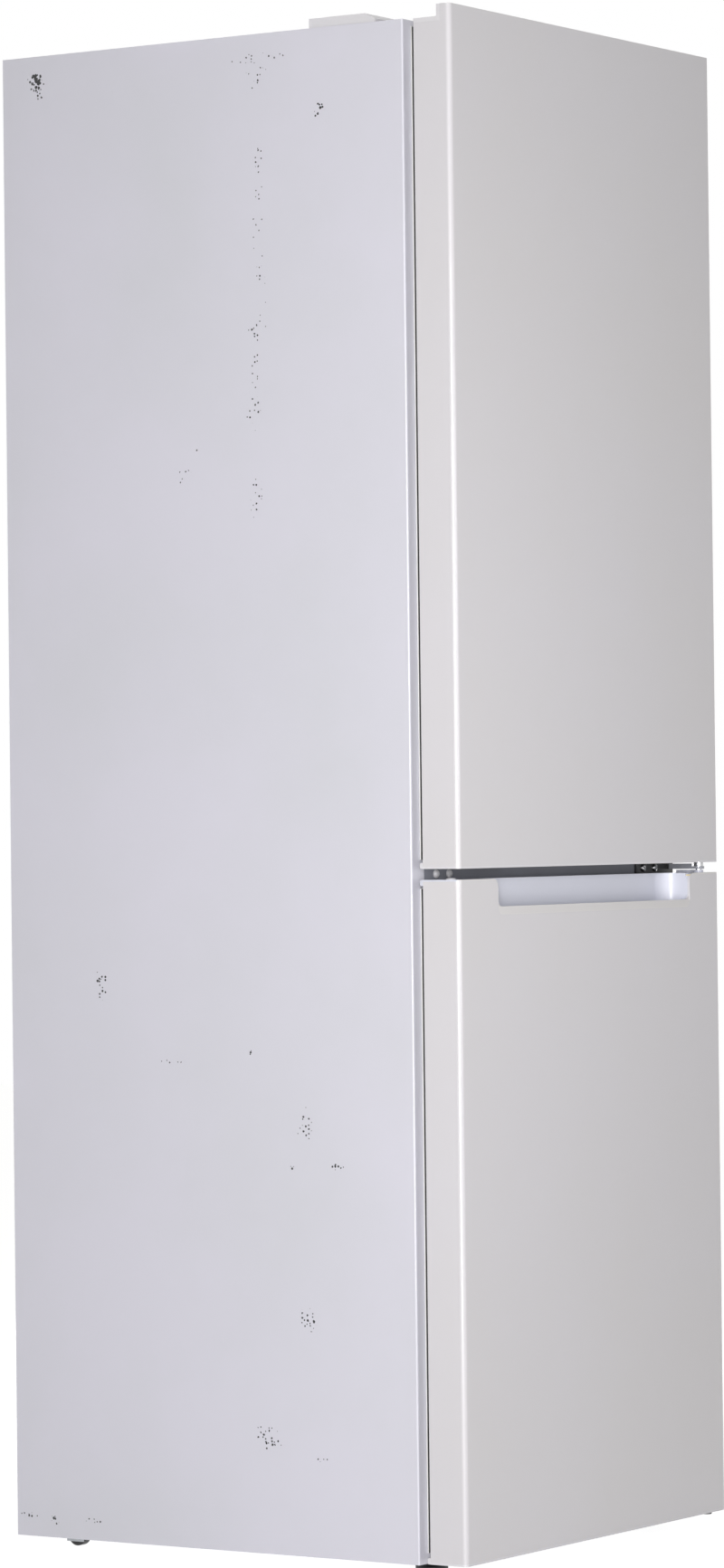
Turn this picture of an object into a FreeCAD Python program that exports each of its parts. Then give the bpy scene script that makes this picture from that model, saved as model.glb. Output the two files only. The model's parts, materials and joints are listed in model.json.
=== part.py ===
import FreeCAD
import Part
import Sketcher
import math
import os

# A free-standing fridge freezer: fridge above, freezer below, two doors hinged on the right,
# and a hand recess in the top edge of the lower door that both doors share.
# Frame: X to the right seen from the front, the doors face -Y, Z up.
# The origin is on the floor under the middle of the appliance, and sizes are millimetres.

SIZES = {
    # Whole appliance
    "overall_width": 595,
    "overall_depth": 635,
    "overall_height": 1800,
    "door_reach": 64,
    "door_gap": 15,
    "case_floor_gap": 19,
    "door_floor_gap": 21,
    "case_drop": 13,
    "door_split": 801,
    "doors_gap": 12.5,
    # Sheets and clearances
    "case_sheet": 0.8,
    "door_sheet": 0.8,
    "liner_sheet": 2,
    "pan_sheet": 1.2,
    "back_sheet": 1,
    "case_edge_radius": 2,
    "flange_width": 26,
    "seat_gap": 0.3,
    "cut_over": 30,
    # Insulated walls and the two compartments
    "fridge_wall": 45,
    "fridge_top_wall": 50,
    "fridge_rear_wall": 45,
    "freezer_wall": 60,
    "freezer_rear_wall": 55,
    "freezer_floor_wall": 58,
    "divider_height_above": 35,
    "divider_height_below": 35,
    "liner_corner_radius": 14,
    "liner_edge_radius": 10,
    "rail_height": 52,
    "rail_return": 14,
    # Machine compartment
    "machine_depth": 190,
    "machine_height": 232,
    "machine_wall": 48,
    "machine_side": 42,
    "deck_raise": 12,
    "deck_sheet": 1.5,
    "roof_notch": 12,
    # Compressor
    "compressor_side_space": 160.5,
    "compressor_rear_space": 95,
    "shell_radius": 74,
    "shell_height": 158,
    "shell_dome": 42,
    "shell_seam": 3,
    "mount_plate_sheet": 2.5,
    "mount_spread_x": 78,
    "mount_spread_y": 58,
    "mount_plate_margin": 13,
    "grommet_radius": 11,
    "grommet_height": 12,
    "mount_bolt_radius": 3,
    "mount_hole_radius": 4.2,
    "bolt_head_radius": 7,
    "bolt_head_height": 4,
    "terminal_width": 62,
    "terminal_height": 74,
    "terminal_depth": 26,
    "terminal_radius": 6,
    "gland_radius": 6,
    "gland_length": 10,
    "stub_height": 120,
    "stub_length": 16,
    "stub_radius": 3.6,
    "stub_pitch": 24,
    # Refrigerant tubes
    "tube_radius": 2.4,
    "tube_bend": 14,
    "tube_groove": 8,
    "coil_inset": 92.5,
    "coil_pitch": 150,
    "coil_start_height": 90,
    "drier_radius": 9,
    "drier_length": 90,
    "drier_neck": 10,
    "drier_inlet_run": 30,
    "tube_drop": 26,
    # Drain tray on the deck
    "drain_tray_depth": 120,
    "drain_tray_height": 42,
    "drain_tray_side_space": 70.5,
    "drain_tray_shell_gap": 39,
    # Hinges
    "hinge_inset": 14,
    "hinge_set_back": 20,
    "hinge_sheet": 3,
    "hinge_pin_radius": 4,
    "pin_depth": 16,
    "pin_play": 0.06,
    "socket_wall": 4,
    "arm_half_width": 7,
    "top_plate_width": 58,
    "top_plate_start": 45,
    "top_plate_length": 70,
    "hinge_edge": 4,
    "middle_plate_width": 88,
    "middle_plate_height": 28,
    "middle_plate_edge": 6,
    "middle_arm_rise": 0.5,
    "middle_arm_rib": 6.5,
    "screw_near_inset": 50.5,
    "screw_far_inset": 78.5,
    "bottom_plate_width": 94,
    "bottom_plate_length": 60,
    "screw_radius": 2.2,
    "screw_head_radius": 4.6,
    "screw_head_height": 2.6,
    "screw_length": 12,
    "screw_clearance": 0.1,
    "plug_radius": 5,
    "plug_height": 4,
    "plug_stem_radius": 3,
    "plug_stem_length": 8,
    "hole_plug_radius": 6,
    "hole_plug_height": 1.8,
    # Covers on the case top
    "cover_width": 65,
    "cover_edge": 1,
    "cover_start": 38,
    "cover_slope": 14,
    "cover_length": 91,
    "cover_height": 11,
    "cover_nose": 4,
    "cover_wall": 2,
    # Doors
    "door_corner_radius": 6,
    "door_hem": 12,
    "top_cap_show": 5,
    "door_cap_clearance": 1,
    "lip_steel": 13.5,
    "lip_riser": 4.5,
    "lip_end_wall": 2.5,
    "lip_end_room": 10,
    "bottom_cap_show": 2.5,
    "lower_cap_show": 2,
    "cap_skirt_wall": 2,
    "grip_depth": 24,
    "grip_front_wall": 12,
    "grip_length_front": 26,
    "cap_lobe_width": 6,
    "cap_lobe_reach": 4.5,
    "cap_lobe_height": 7,
    # Hand recess of the lower door
    "recess_left": 84,
    "recess_right": 71,
    "recess_opening": 32,
    "recess_lip": 9.5,
    "recess_trough": 22,
    "recess_depth": 36,
    "recess_wall": 2.5,
    "recess_front_wall": 4,
    "recess_end_radius": 25,
    "recess_top_radius": 10,
    "recess_bottom_radius": 9,
    "stop_ridge_height": 3,
    "stop_ridge_width": 12,
    "stop_ridge_start": 8,
    "stop_ridge_end": 28,
    # Door liners, dykes and gaskets
    "door_liner_sheet": 1.5,
    "fridge_dyke_gap": 8,
    "freezer_dyke_gap": 6,
    "dyke_width": 25,
    "fridge_dyke_depth": 45,
    "freezer_dyke_depth": 27,
    "gasket_side_inset": 16,
    "gasket_top_inset": 6,
    "gasket_end_inset": 10,
    "gasket_face": 18,
    "gasket_face_depth": 6,
    "gasket_neck": 9,
    "gasket_neck_inset": 5,
    # Shelves and trims
    "shelf_glass": 4,
    "shelf_side_gap": 1.5,
    "shelf_set_back": 100,
    "crisper_height": 180,
    "crisper_cover_rise": 190,
    "shelf_rib_depth": 9,
    "shelf_rib_height": 9,
    "trim_height": 14,
    "trim_depth": 12,
    "trim_wall": 2,
    "rear_trim_height": 18,
    # Drawers
    "drawer_wall": 2.2,
    "drawer_radius": 18,
    "drawer_side_gap": 15.5,
    "drawer_set_back": 25,
    "drawer_front": 4,
    "drawer_front_rise": 8,
    "drawer_grip_width": 150,
    "drawer_grip_height": 26,
    "drawer_grip_drop": 14,
    "runner_depth": 26,
    "runner_height": 8,
    "drawer_head_room": 14,
    "crisper_side_gap": 24.5,
    # Door bins
    "bin_wall": 2.2,
    "bin_depth": 92,
    "bin_radius": 20,
    "bin_height": 78,
    "bottle_bin_height": 122,
    "bin_lug_reach": 9,
    "bin_lug_depth": 40,
    "bin_lug_height": 10,
    "bottle_bin_rise": 14,
    # Air duct and control box
    "duct_width": 140,
    "duct_depth": 16,
    "duct_bottom_gap": 220,
    "duct_top_gap": 50,
    "duct_slot_width": 44,
    "duct_slot_height": 7,
    "duct_edge_radius": 6,
    "control_width": 250,
    "control_depth": 170,
    "control_height": 26,
    "control_set_back": 80,
    "control_radius": 16,
    "lens_width": 90,
    "lens_depth": 60,
    "lens_thickness": 3,
    "lens_offset": 60,
    "knob_offset": 66,
    "knob_radius": 19,
    "knob_height": 15,
    "knob_grip_width": 7,
    "knob_skirt": 4,
    "spindle_radius": 3,
    "spindle_play": 0.06,
    # Freezer air side
    "cover_sheet": 2.5,
    "air_space": 72,
    "fan_ceiling_gap": 90,
    "fan_radius": 48,
    "fan_hub_radius": 15,
    "fan_hub_length": 18,
    "fan_gap": 5,
    "fan_blade_sheet": 1.6,
    "fan_shaft_radius": 2,
    "fan_shaft_play": 0.05,
    "fan_guard_slot": 7,
    "fan_guard_pitch": 12,
    "motor_radius": 24,
    "motor_length": 20,
    "motor_arm_width": 10,
    "motor_arm_sheet": 3,
    "motor_arm_reach": 60,
    "air_slot_width": 120,
    "air_slot_height": 8,
    "evaporator_side_gap": 47.5,
    "evaporator_height": 200,
    "return_reach": 16,
    "suction_radius": 3.6,
    "suction_bend": 12,
    "riser_inset": 15.5,
    "capillary_radius": 1.2,
    "capillary_bend": 7,
    "capillary_start": 14,
    "line_clearance": 0.3,
    "evaporator_gap": 8,
    "evaporator_rise": 40,
    "fin_sheet": 1,
    "fin_margin": 8,
    "evaporator_tube_radius": 4,
    # Feet and rear rollers
    "foot_inset": 85.5,
    "foot_set_back": 38,
    "foot_radius": 19,
    "foot_rim": 5,
    "foot_thickness": 9,
    "foot_stem_radius": 5,
    "foot_stem_length": 42,
    "foot_play": 0.08,
    "foot_nut_wall": 4,
    "foot_nut_height": 11,
    "roller_radius": 13,
    "roller_width": 15,
    "roller_crown": 2,
    "roller_inset": 34,
    "roller_rear_space": 36,
    "roller_axle_radius": 3.5,
    "roller_axle_play": 0.06,
    "roller_side_gap": 0.5,
    "ear_sheet": 2,
    "ear_half_length": 12,
}

DRAWERS = 3
COIL_ROWS = 9
FINS = 16
FIN_ROWS = 4
FAN_BLADES = 7
DUCT_SLOTS = 5
GUARD_SLOTS = 7
TOLERANCE = 1e-4
# Places that divide a length, and proportions of a form
BOTTOM_SCREW_SHARES = (0.15, 0.38, 0.6)
SHELF_SHARES = (0, 0.244, 0.488, 0.732)
BIN_SHARES = (0.81, 0.405, 0)
PLUG_DOME_SHARES = ((1, 0.35), (0.8, 0.75), (0.45, 1))
HOLE_PLUG_DOME_SHARES = ((1, 0.4), (0.75, 1))
SHELL_DOME_SHARES = ((0.6, 0.12), (0.86, 0.42))
SHELL_SEAM_SHARE = 0.55
ROUND_END_SHARE = 0.98
ARM_STRAIGHT_SHARE = 2.5
TOP_SOCKET_SHARE = 1.3
SOCKET_SHARE = 1.5
MOUTH_SHARE = 1.5
GRIP_ROUND_SHARE = 0.4
LOBE_ROUND_SHARE = 0.3
KNOB_GRIP_SHARE = 0.9
SPINDLE_SHARE = 0.8
FIN_TUBE_SHARES = (0.3, 0.7)
RETURN_BEND_SHARE = 0.46
BLADE_ROOT_SHARE = 0.85
BLADE_CHORD_SHARE = 0.9
BLADE_SPREAD_SHARE = 0.6
BLADE_SECTION_SHARES = (0, 0.5, 1)
FULL_TURN = 360
BLADE_ROOT_ANGLE = 28
BLADE_TWIST_ANGLE = 38
PLANE_AXES = {"XY": (0, 1), "XZ": (0, 2), "YZ": (1, 2)}
AXIS_VECTORS = {
    "X": FreeCAD.Vector(1, 0, 0),
    "Y": FreeCAD.Vector(0, 1, 0),
    "Z": FreeCAD.Vector(0, 0, 1),
}

document = FreeCAD.newDocument("fridge_freezer")
parts = {}


class Size:
    """A length of the sheet, or one worked out from such lengths, with the formula that gives it."""

    def __init__(self, value, formula):
        self.value = value
        self.formula = formula

    def _joined(self, other, sign, value):
        text = other.formula if isinstance(other, Size) else repr(other)
        return Size(value, f"({self.formula} {sign} {text})")

    def __add__(self, other):
        return self._joined(other, "+", self.value + number(other))

    def __sub__(self, other):
        return self._joined(other, "-", self.value - number(other))

    def __mul__(self, other):
        return self._joined(other, "*", self.value * number(other))

    def __truediv__(self, other):
        return self._joined(other, "/", self.value / number(other))

    def __neg__(self):
        return Size(-self.value, f"(-1 * {self.formula})")

    def __radd__(self, other):
        return self + other

    def __rmul__(self, other):
        return self * other


def number(size):
    """The plain value of a Size or a number."""
    return size.value if isinstance(size, Size) else size


class Sheet:
    """The spreadsheet of driving dimensions; each one is read as an attribute."""

    def __init__(self, sizes):
        self.cells = document.addObject("Spreadsheet::Sheet", "Sizes")
        for row, (alias, length) in enumerate(sizes.items(), 1):
            self.cells.set(f"A{row}", alias)
            self.cells.set(f"B{row}", str(length))
            self.cells.setAlias(f"B{row}", alias)
        document.recompute()

    def __getattr__(self, alias):
        return Size(float(self.cells.get(alias)), f"Sizes.{alias}")


s = Sheet(SIZES)

right = s.overall_width / 2
left = -right
front = -s.overall_depth / 2
rear = s.overall_depth / 2
flange = front + s.door_reach
door_rear = flange - s.door_gap
case_bottom = s.case_floor_gap
case_top = s.overall_height - s.case_drop
rail_middle = s.door_split + s.doors_gap / 2
rail_low = rail_middle - s.rail_height / 2
rail_high = rail_middle + s.rail_height / 2
fridge_half = right - s.fridge_wall
freezer_half = right - s.freezer_wall
fridge_floor = rail_middle + s.divider_height_above
fridge_ceiling = case_top - s.fridge_top_wall
freezer_ceiling = rail_middle - s.divider_height_below
freezer_floor = case_bottom + s.freezer_floor_wall
fridge_back = rear - s.fridge_rear_wall
freezer_back = rear - s.freezer_rear_wall
machine_front = rear - s.machine_depth
machine_top = case_bottom + s.machine_height
machine_half = right - s.machine_side
step_front = machine_front - s.machine_wall
step_top = machine_top + s.machine_wall
deck_top = case_bottom + s.deck_raise + s.deck_sheet
axis_x = right - s.hinge_inset
axis_y = front + s.hinge_set_back
shelf_front = flange + s.shelf_set_back
shelf_back = fridge_back - s.duct_depth - s.shelf_side_gap
foot_x = right - s.foot_inset
compressor_x = machine_half - s.compressor_side_space
coil_half = right - s.coil_inset
drawer_half = freezer_half - s.drawer_side_gap
crisper_half = fridge_half - s.crisper_side_gap
evaporator_half = freezer_half - s.evaporator_side_gap
riser_x = freezer_half - s.riser_inset


def bind(item, name, size):
    """Set a property, by expression where the size comes from the sheet."""
    if isinstance(size, Size):
        item.setExpression(name, size.formula)


def both_sides(half):
    """The span from -half to +half."""
    return (-half, half)


def block(name, x, y, z):
    """A box between the two sizes given along each axis."""
    box = document.addObject("Part::Box", name)
    for side, span, axis in (("Length", x, "x"), ("Width", y, "y"), ("Height", z, "z")):
        bind(box, side, span[1] - span[0])
        bind(box, f"Placement.Base.{axis}", span[0])
    return box


def rod(name, axis, at, radius, span):
    """A cylinder along an axis; at holds its two other coordinates in the order X, Y, Z."""
    cylinder = document.addObject("Part::Cylinder", name)
    bind(cylinder, "Radius", radius)
    bind(cylinder, "Height", span[1] - span[0])
    turn = FreeCAD.Rotation(AXIS_VECTORS["Z"], AXIS_VECTORS[axis])
    cylinder.Placement = FreeCAD.Placement(FreeCAD.Vector(), turn)
    place = list(at)
    place.insert("XYZ".index(axis), span[0])
    for letter, size in zip("xyz", place):
        bind(cylinder, f"Placement.Base.{letter}", size)
    return cylinder


def together(name, pieces):
    """One solid out of pieces that touch or overlap."""
    pieces = list(pieces)
    if len(pieces) == 1:
        return pieces[0]
    union = document.addObject("Part::MultiFuse", name)
    union.Shapes = pieces
    return union


def group(name, pieces):
    """Separate solids in one node."""
    compound = document.addObject("Part::Compound", name)
    compound.Links = list(pieces)
    return compound


def cut(name, base, *tools):
    """The base with the tools taken out of it."""
    difference = document.addObject("Part::Cut", name)
    difference.Base = base
    difference.Tool = together(name + "_tools", tools)
    return difference


def draw_outline(sketch, outline):
    """Closed polygon with every corner bound to its two sizes."""
    corners = [FreeCAD.Vector(number(u), number(v), 0) for u, v in outline]
    for here, there in zip(corners, corners[1:] + corners[:1]):
        sketch.addGeometry(Part.LineSegment(here, there), False)
    count = len(corners)
    for line in range(count):
        sketch.addConstraint(Sketcher.Constraint("Coincident", line, 2, (line + 1) % count, 1))
    for line, (u, v) in enumerate(outline):
        for kind, size, zero_axis in (("DistanceX", u, -2), ("DistanceY", v, -1)):
            if isinstance(size, Size):
                datum = Sketcher.Constraint(kind, -1, 1, line, 1, size.value)
                place = sketch.addConstraint(datum)
                sketch.setExpression(f"Constraints[{place}]", size.formula)
            else:
                sketch.addConstraint(Sketcher.Constraint("PointOnObject", line, 1, zero_axis))


def base_sketch(body, plane, offset, outline):
    """A sketch on one of the body's origin planes, moved along the plane's normal."""
    sketch = body.newObject("Sketcher::SketchObject", body.Name + "_outline")
    support = next(item for item in body.Origin.OriginFeatures if item.Role == plane + "_Plane")
    sketch.AttachmentSupport = (support, [""])
    sketch.MapMode = "FlatFace"
    bind(sketch, "AttachmentOffset.Base.z", offset)
    draw_outline(sketch, outline)
    return sketch


def matching_edges(shape, plane, corners):
    """Names of the straight edges square to the plane that stand on the given corners."""
    first, second = PLANE_AXES[plane]
    places = [(number(u), number(v)) for u, v in corners]
    names = []
    for index, edge in enumerate(shape.Edges, 1):
        ends = [(vertex.Point[first], vertex.Point[second]) for vertex in edge.Vertexes]
        for place in places:
            if len(ends) == 2 and all(math.dist(end, place) < TOLERANCE for end in ends):
                names.append(f"Edge{index}")
    return names


def edges_in_plane(shape, axis, level):
    """Names of the edges that lie wholly in the plane across an axis at one level."""
    names = []
    for index, edge in enumerate(shape.Edges, 1):
        points = [edge.valueAt(edge.FirstParameter), edge.CenterOfMass, edge.valueAt(edge.LastParameter)]
        if all(abs(getattr(point, axis) - number(level)) < TOLERANCE for point in points):
            names.append(f"Edge{index}")
    return names


def add_fillet(body, radius, names):
    """Round the named edges of the body's last feature."""
    base = body.Tip
    fillet = body.newObject("PartDesign::Fillet", body.Name + "_fillet")
    fillet.Base = (base, names)
    bind(fillet, "Radius", radius)
    document.recompute()
    return fillet


def slab(name, plane, outline, span, rounds=()):
    """A padded outline between two levels; rounds lists (corner numbers, radius)."""
    body = document.addObject("PartDesign::Body", name)
    offset = -span[1] if plane == "XZ" else span[0]
    sketch = base_sketch(body, plane, offset, outline)
    pad = body.newObject("PartDesign::Pad", name + "_pad")
    pad.Profile = sketch
    bind(pad, "Length", span[1] - span[0])
    document.recompute()
    for corners, radius in rounds:
        places = [outline[corner] for corner in corners]
        add_fillet(body, radius, matching_edges(body.Tip.Shape, plane, places))
    return body


def rectangle(u, v):
    """Corners of a rectangle, counter-clockwise from the lower left."""
    return [(u[0], v[0]), (u[1], v[0]), (u[1], v[1]), (u[0], v[1])]


def rounded_block(name, x, y, z, radius, corners=(0, 1, 2, 3)):
    """A block whose upright edges are rounded; corner 0 is left front, then counter-clockwise."""
    return slab(name, "XY", rectangle(x, y), z, [(corners, radius)])


def turned(name, outline, axis, at):
    """A solid of revolution; the outline holds (radius, height) and at is the foot of its axis."""
    body = document.addObject("PartDesign::Body", name)
    sketch = base_sketch(body, "XZ", 0, outline)
    revolution = body.newObject("PartDesign::Revolution", name + "_turn")
    revolution.Profile = sketch
    revolution.ReferenceAxis = (sketch, ["V_Axis"])
    revolution.Angle = FULL_TURN
    document.recompute()
    turn = FreeCAD.Rotation(AXIS_VECTORS["Z"], AXIS_VECTORS[axis])
    body.Placement = FreeCAD.Placement(FreeCAD.Vector(), turn)
    for letter, size in zip("xyz", at):
        bind(body, f"Placement.Base.{letter}", size)
    return body


def open_box(name, x, y, z, wall, radius):
    """A tray with rounded upright edges and an open top."""
    outside = rounded_block(name + "_outside", x, y, z, radius)
    inside = rounded_block(
        name + "_inside",
        (x[0] + wall, x[1] - wall),
        (y[0] + wall, y[1] - wall),
        (z[0] + wall, z[1] + s.cut_over),
        radius - wall,
    )
    return outside, inside


def frame(name, x, y, z, width):
    """A rectangular ring seen from the front, of one width all round."""
    ring = block(name + "_ring", x, y, z)
    hole = block(
        name + "_hole",
        (x[0] + width, x[1] - width),
        (y[0] - s.cut_over, y[1] + s.cut_over),
        (z[0] + width, z[1] - width),
    )
    return cut(name, ring, hole)


def bent_path(points, bend):
    """A wire through the points, straight between them and turned with one bend radius."""
    corners = [FreeCAD.Vector(*(number(size) for size in point)) for point in points]
    radius = number(bend)
    edges = []
    start = corners[0]
    for before, here, after in zip(corners, corners[1:], corners[2:]):
        inward = (before - here).normalize()
        outward = (after - here).normalize()
        half_turn = (math.pi - inward.getAngle(outward)) / 2
        reach = radius * math.tan(half_turn)
        enter = here + inward * reach
        leave = here + outward * reach
        bisector = (inward + outward).normalize()
        middle = here + bisector * (radius / math.cos(half_turn) - radius)
        if (enter - start).Length > TOLERANCE:
            edges.append(Part.LineSegment(start, enter).toShape())
        edges.append(Part.Arc(enter, middle, leave).toShape())
        start = leave
    edges.append(Part.LineSegment(start, corners[-1]).toShape())
    return Part.Wire(edges)


def tube(name, points, radius, bend):
    """A round tube, drawn solid, along a bent path."""
    path = bent_path(points, bend)
    first = path.Edges[0]
    section = Part.Circle(first.Vertexes[0].Point, first.tangentAt(first.FirstParameter), number(radius))
    feature = document.addObject("Part::Feature", name)
    feature.Shape = path.makePipeShell([Part.Wire(section.toShape())], True, False)
    return feature


def keep(name, item):
    """Register a finished sub-part under its own name."""
    item.Label = name
    parts[name] = item
    return item


def screw_places():
    """Every hinge screw as (axis, direction sign, x, y, z) of the face that its head sits on."""
    top_y = flange + s.top_plate_start + s.top_plate_length / 4
    top_rear_y = top_y + s.top_plate_length / 2
    plate_x = right - s.hinge_edge - s.top_plate_width / 4
    plate_far_x = plate_x - s.top_plate_width / 2
    on_top = case_top + s.hinge_sheet
    places = [
        ("Z", -1, plate_x, top_rear_y, on_top),
        ("Z", -1, plate_far_x, top_rear_y, on_top),
        ("Z", -1, plate_far_x, top_y, on_top),
    ]
    for inset in (s.screw_near_inset, s.screw_far_inset):
        places.append(("Y", 1, right - inset, flange - s.hinge_sheet, rail_middle))
    bottom_y = flange + s.bottom_plate_length / 2
    under = case_bottom - s.hinge_sheet
    for share in BOTTOM_SCREW_SHARES:
        x = right - s.hinge_edge - s.bottom_plate_width * share
        places.append(("Z", 1, x, bottom_y, under))
    return places


def along(start, sign, distance):
    """The span that runs from start in the direction of the sign."""
    end = start + distance * sign
    return (start, end) if sign > 0 else (end, start)


def screw_holes(name, extra):
    """Shank holes for the hinge screws, each wider than its shank by extra."""
    holes = []
    for index, (axis, sign, x, y, z) in enumerate(screw_places(), 1):
        at, start = ((x, y), z) if axis == "Z" else ((x, z), y)
        span = along(start, sign, s.screw_length)
        holes.append(rod(f"{name}_{index}", axis, at, s.screw_radius + extra, span))
    return holes


def build_hinge_screws():
    shanks = screw_holes("screw_shank", 0)
    screws = []
    for index, (axis, sign, x, y, z) in enumerate(screw_places(), 1):
        at, start = ((x, y), z) if axis == "Z" else ((x, z), y)
        span = along(start, -sign, s.screw_head_height)
        head = rod(f"screw_head_{index}", axis, at, s.screw_head_radius, span)
        screws.append(together(f"hinge_screw_{index}", [head, shanks[index - 1]]))
    keep("hinge_screws", group("hinge_screws", screws))


def build_outer_case(holes):
    sheet = s.case_sheet
    outside = rounded_block(
        "case_outside",
        (left, right),
        (flange, rear),
        (case_bottom, case_top),
        s.case_edge_radius,
        corners=(0, 1),
    )
    inside = block(
        "case_inside",
        (left + sheet, right - sheet),
        (flange + sheet, rear + s.cut_over),
        (case_bottom - s.cut_over, case_top - sheet),
    )
    opening = block(
        "case_opening",
        both_sides(right - s.flange_width),
        (flange - s.cut_over, flange + s.cut_over),
        (case_bottom - s.cut_over, case_top - s.flange_width),
    )
    keep("outer_case", cut("outer_case", outside, inside, opening, *holes))


def build_cross_rail(holes, plug_holes):
    sheet = s.pan_sheet
    half = right - s.flange_width
    channel = block("rail_outside", both_sides(half), (flange, flange + s.rail_return), (rail_low, rail_high))
    hollow = block(
        "rail_inside",
        both_sides(half + s.cut_over),
        (flange + sheet, flange + s.rail_return + s.cut_over),
        (rail_low + sheet, rail_high - sheet),
    )
    return keep("cross_rail", cut("cross_rail", channel, hollow, *holes, *plug_holes))


def build_rail_plugs():
    """Domed caps over the screw holes on the side where the doors are not hinged."""
    plugs = []
    holes = []
    for index, inset in enumerate((s.screw_near_inset, s.screw_far_inset), 1):
        outline = [
            (0, -s.plug_stem_length),
            (s.plug_stem_radius, -s.plug_stem_length),
            (s.plug_stem_radius, 0),
            (s.plug_radius, 0),
            *((s.plug_radius * out, s.plug_height * up) for out, up in PLUG_DOME_SHARES),
            (0, s.plug_height),
        ]
        x = left + inset
        plug = turned(f"rail_plug_{index}", outline, "Y", (x, flange, rail_middle))
        plug.Placement.Rotation = FreeCAD.Rotation(AXIS_VECTORS["Z"], -AXIS_VECTORS["Y"])
        plugs.append(plug)
        span = (flange - s.cut_over, flange + s.plug_stem_length)
        holes.append(rod(f"plug_hole_{index}", "Y", (x, rail_middle), s.plug_stem_radius, span))
    keep("rail_plugs", group("rail_plugs", plugs))
    return holes


def compartment(name, half, depth_back, floor, ceiling):
    """Inside block of a compartment, open past the flange, with rounded rear and side corners."""
    outline = rectangle(both_sides(half), (floor, ceiling))
    corners = [((0, 1, 2, 3), s.liner_corner_radius)]
    space = slab(name, "XZ", outline, (flange - s.cut_over, depth_back), corners)
    add_fillet(space, s.liner_edge_radius, edges_in_plane(space.Tip.Shape, "y", depth_back))
    return space


def build_fridge_liner():
    sheet = s.liner_sheet
    inside = compartment("fridge_space", fridge_half, fridge_back, fridge_floor, fridge_ceiling)
    outside = block(
        "fridge_liner_box",
        both_sides(fridge_half + sheet),
        (flange, fridge_back + sheet),
        (fridge_floor - sheet, fridge_ceiling + sheet),
    )
    rim = block(
        "fridge_rim",
        both_sides(right - s.flange_width),
        (flange, flange + sheet),
        (rail_high, case_top - s.flange_width),
    )
    ribs = []
    for level in range(len(SHELF_SHARES)):
        top = shelf_level(level)
        for side, wall in (("left", -fridge_half), ("right", fridge_half)):
            x = (wall, wall + s.shelf_rib_depth) if side == "left" else (wall - s.shelf_rib_depth, wall)
            y = (shelf_front, fridge_back)
            ribs.append(block(f"shelf_rib_{side}_{level}", x, y, (top - s.shelf_rib_height, top)))
    shell = cut("fridge_shell", together("fridge_liner_form", [outside, rim]), inside)
    keep("fridge_liner", together("fridge_liner", [shell, *ribs]))
    return [outside, rim]


def shelf_level(level):
    """Height of the underside of the crisper cover (level 0) and of each shelf above it."""
    cover = fridge_floor + s.crisper_cover_rise
    return cover + (fridge_ceiling - cover) * SHELF_SHARES[level]


def freezer_outline(grow, front_y):
    """Side view of the freezer space, which steps up over the machine compartment."""
    return [
        (front_y, freezer_floor - grow),
        (step_front + grow, freezer_floor - grow),
        (step_front + grow, step_top - grow),
        (freezer_back + grow, step_top - grow),
        (freezer_back + grow, freezer_ceiling + grow),
        (front_y, freezer_ceiling + grow),
    ]


def drawer_floor(index):
    """Underside of a freezer drawer, counted from the top one."""
    if index == DRAWERS - 1:
        return freezer_floor + s.seat_gap
    return step_top + s.runner_height + drawer_pitch() * (DRAWERS - 2 - index) + s.seat_gap


def drawer_pitch():
    """Height given to each drawer above the step."""
    return (freezer_ceiling - step_top - s.runner_height) / (DRAWERS - 1)


def drawer_top(index):
    """Upper edge of a freezer drawer, counted from the top one."""
    if index == DRAWERS - 1:
        return step_top - s.drawer_head_room
    return drawer_floor(index) + drawer_pitch() - s.drawer_head_room - s.runner_height


def build_freezer_liner(holes):
    sheet = s.liner_sheet
    radius = s.liner_corner_radius
    mouth = flange - s.cut_over
    inside = slab(
        "freezer_space", "YZ", freezer_outline(0, mouth), both_sides(freezer_half), [((1, 2, 3, 4), radius)]
    )
    form = inside.Tip.Shape
    side_edges = edges_in_plane(form, "x", -freezer_half) + edges_in_plane(form, "x", freezer_half)
    open_edges = edges_in_plane(form, "y", mouth)
    add_fillet(inside, s.liner_edge_radius, [name for name in side_edges if name not in open_edges])
    outer_half = freezer_half + sheet
    outside = slab("freezer_liner_box", "YZ", freezer_outline(sheet, flange), both_sides(outer_half))
    rim = block(
        "freezer_rim",
        both_sides(right - s.flange_width),
        (flange, flange + sheet),
        (case_bottom + s.flange_width, rail_low),
    )
    runners = []
    for index in range(DRAWERS - 1):
        top = drawer_floor(index) - s.seat_gap
        for side, wall in (("left", -freezer_half), ("right", freezer_half)):
            x = (wall, wall + s.runner_depth) if side == "left" else (wall - s.runner_depth, wall)
            y = (flange + s.drawer_set_back + s.drawer_front, freezer_back - s.air_space - s.seat_gap)
            runners.append(block(f"runner_{side}_{index}", x, y, (top - s.runner_height, top)))
    shell = cut("freezer_shell", together("freezer_liner_form", [outside, rim]), inside, *holes)
    keep("freezer_liner", together("freezer_liner", [shell, *runners]))
    return [outside, rim]


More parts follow.
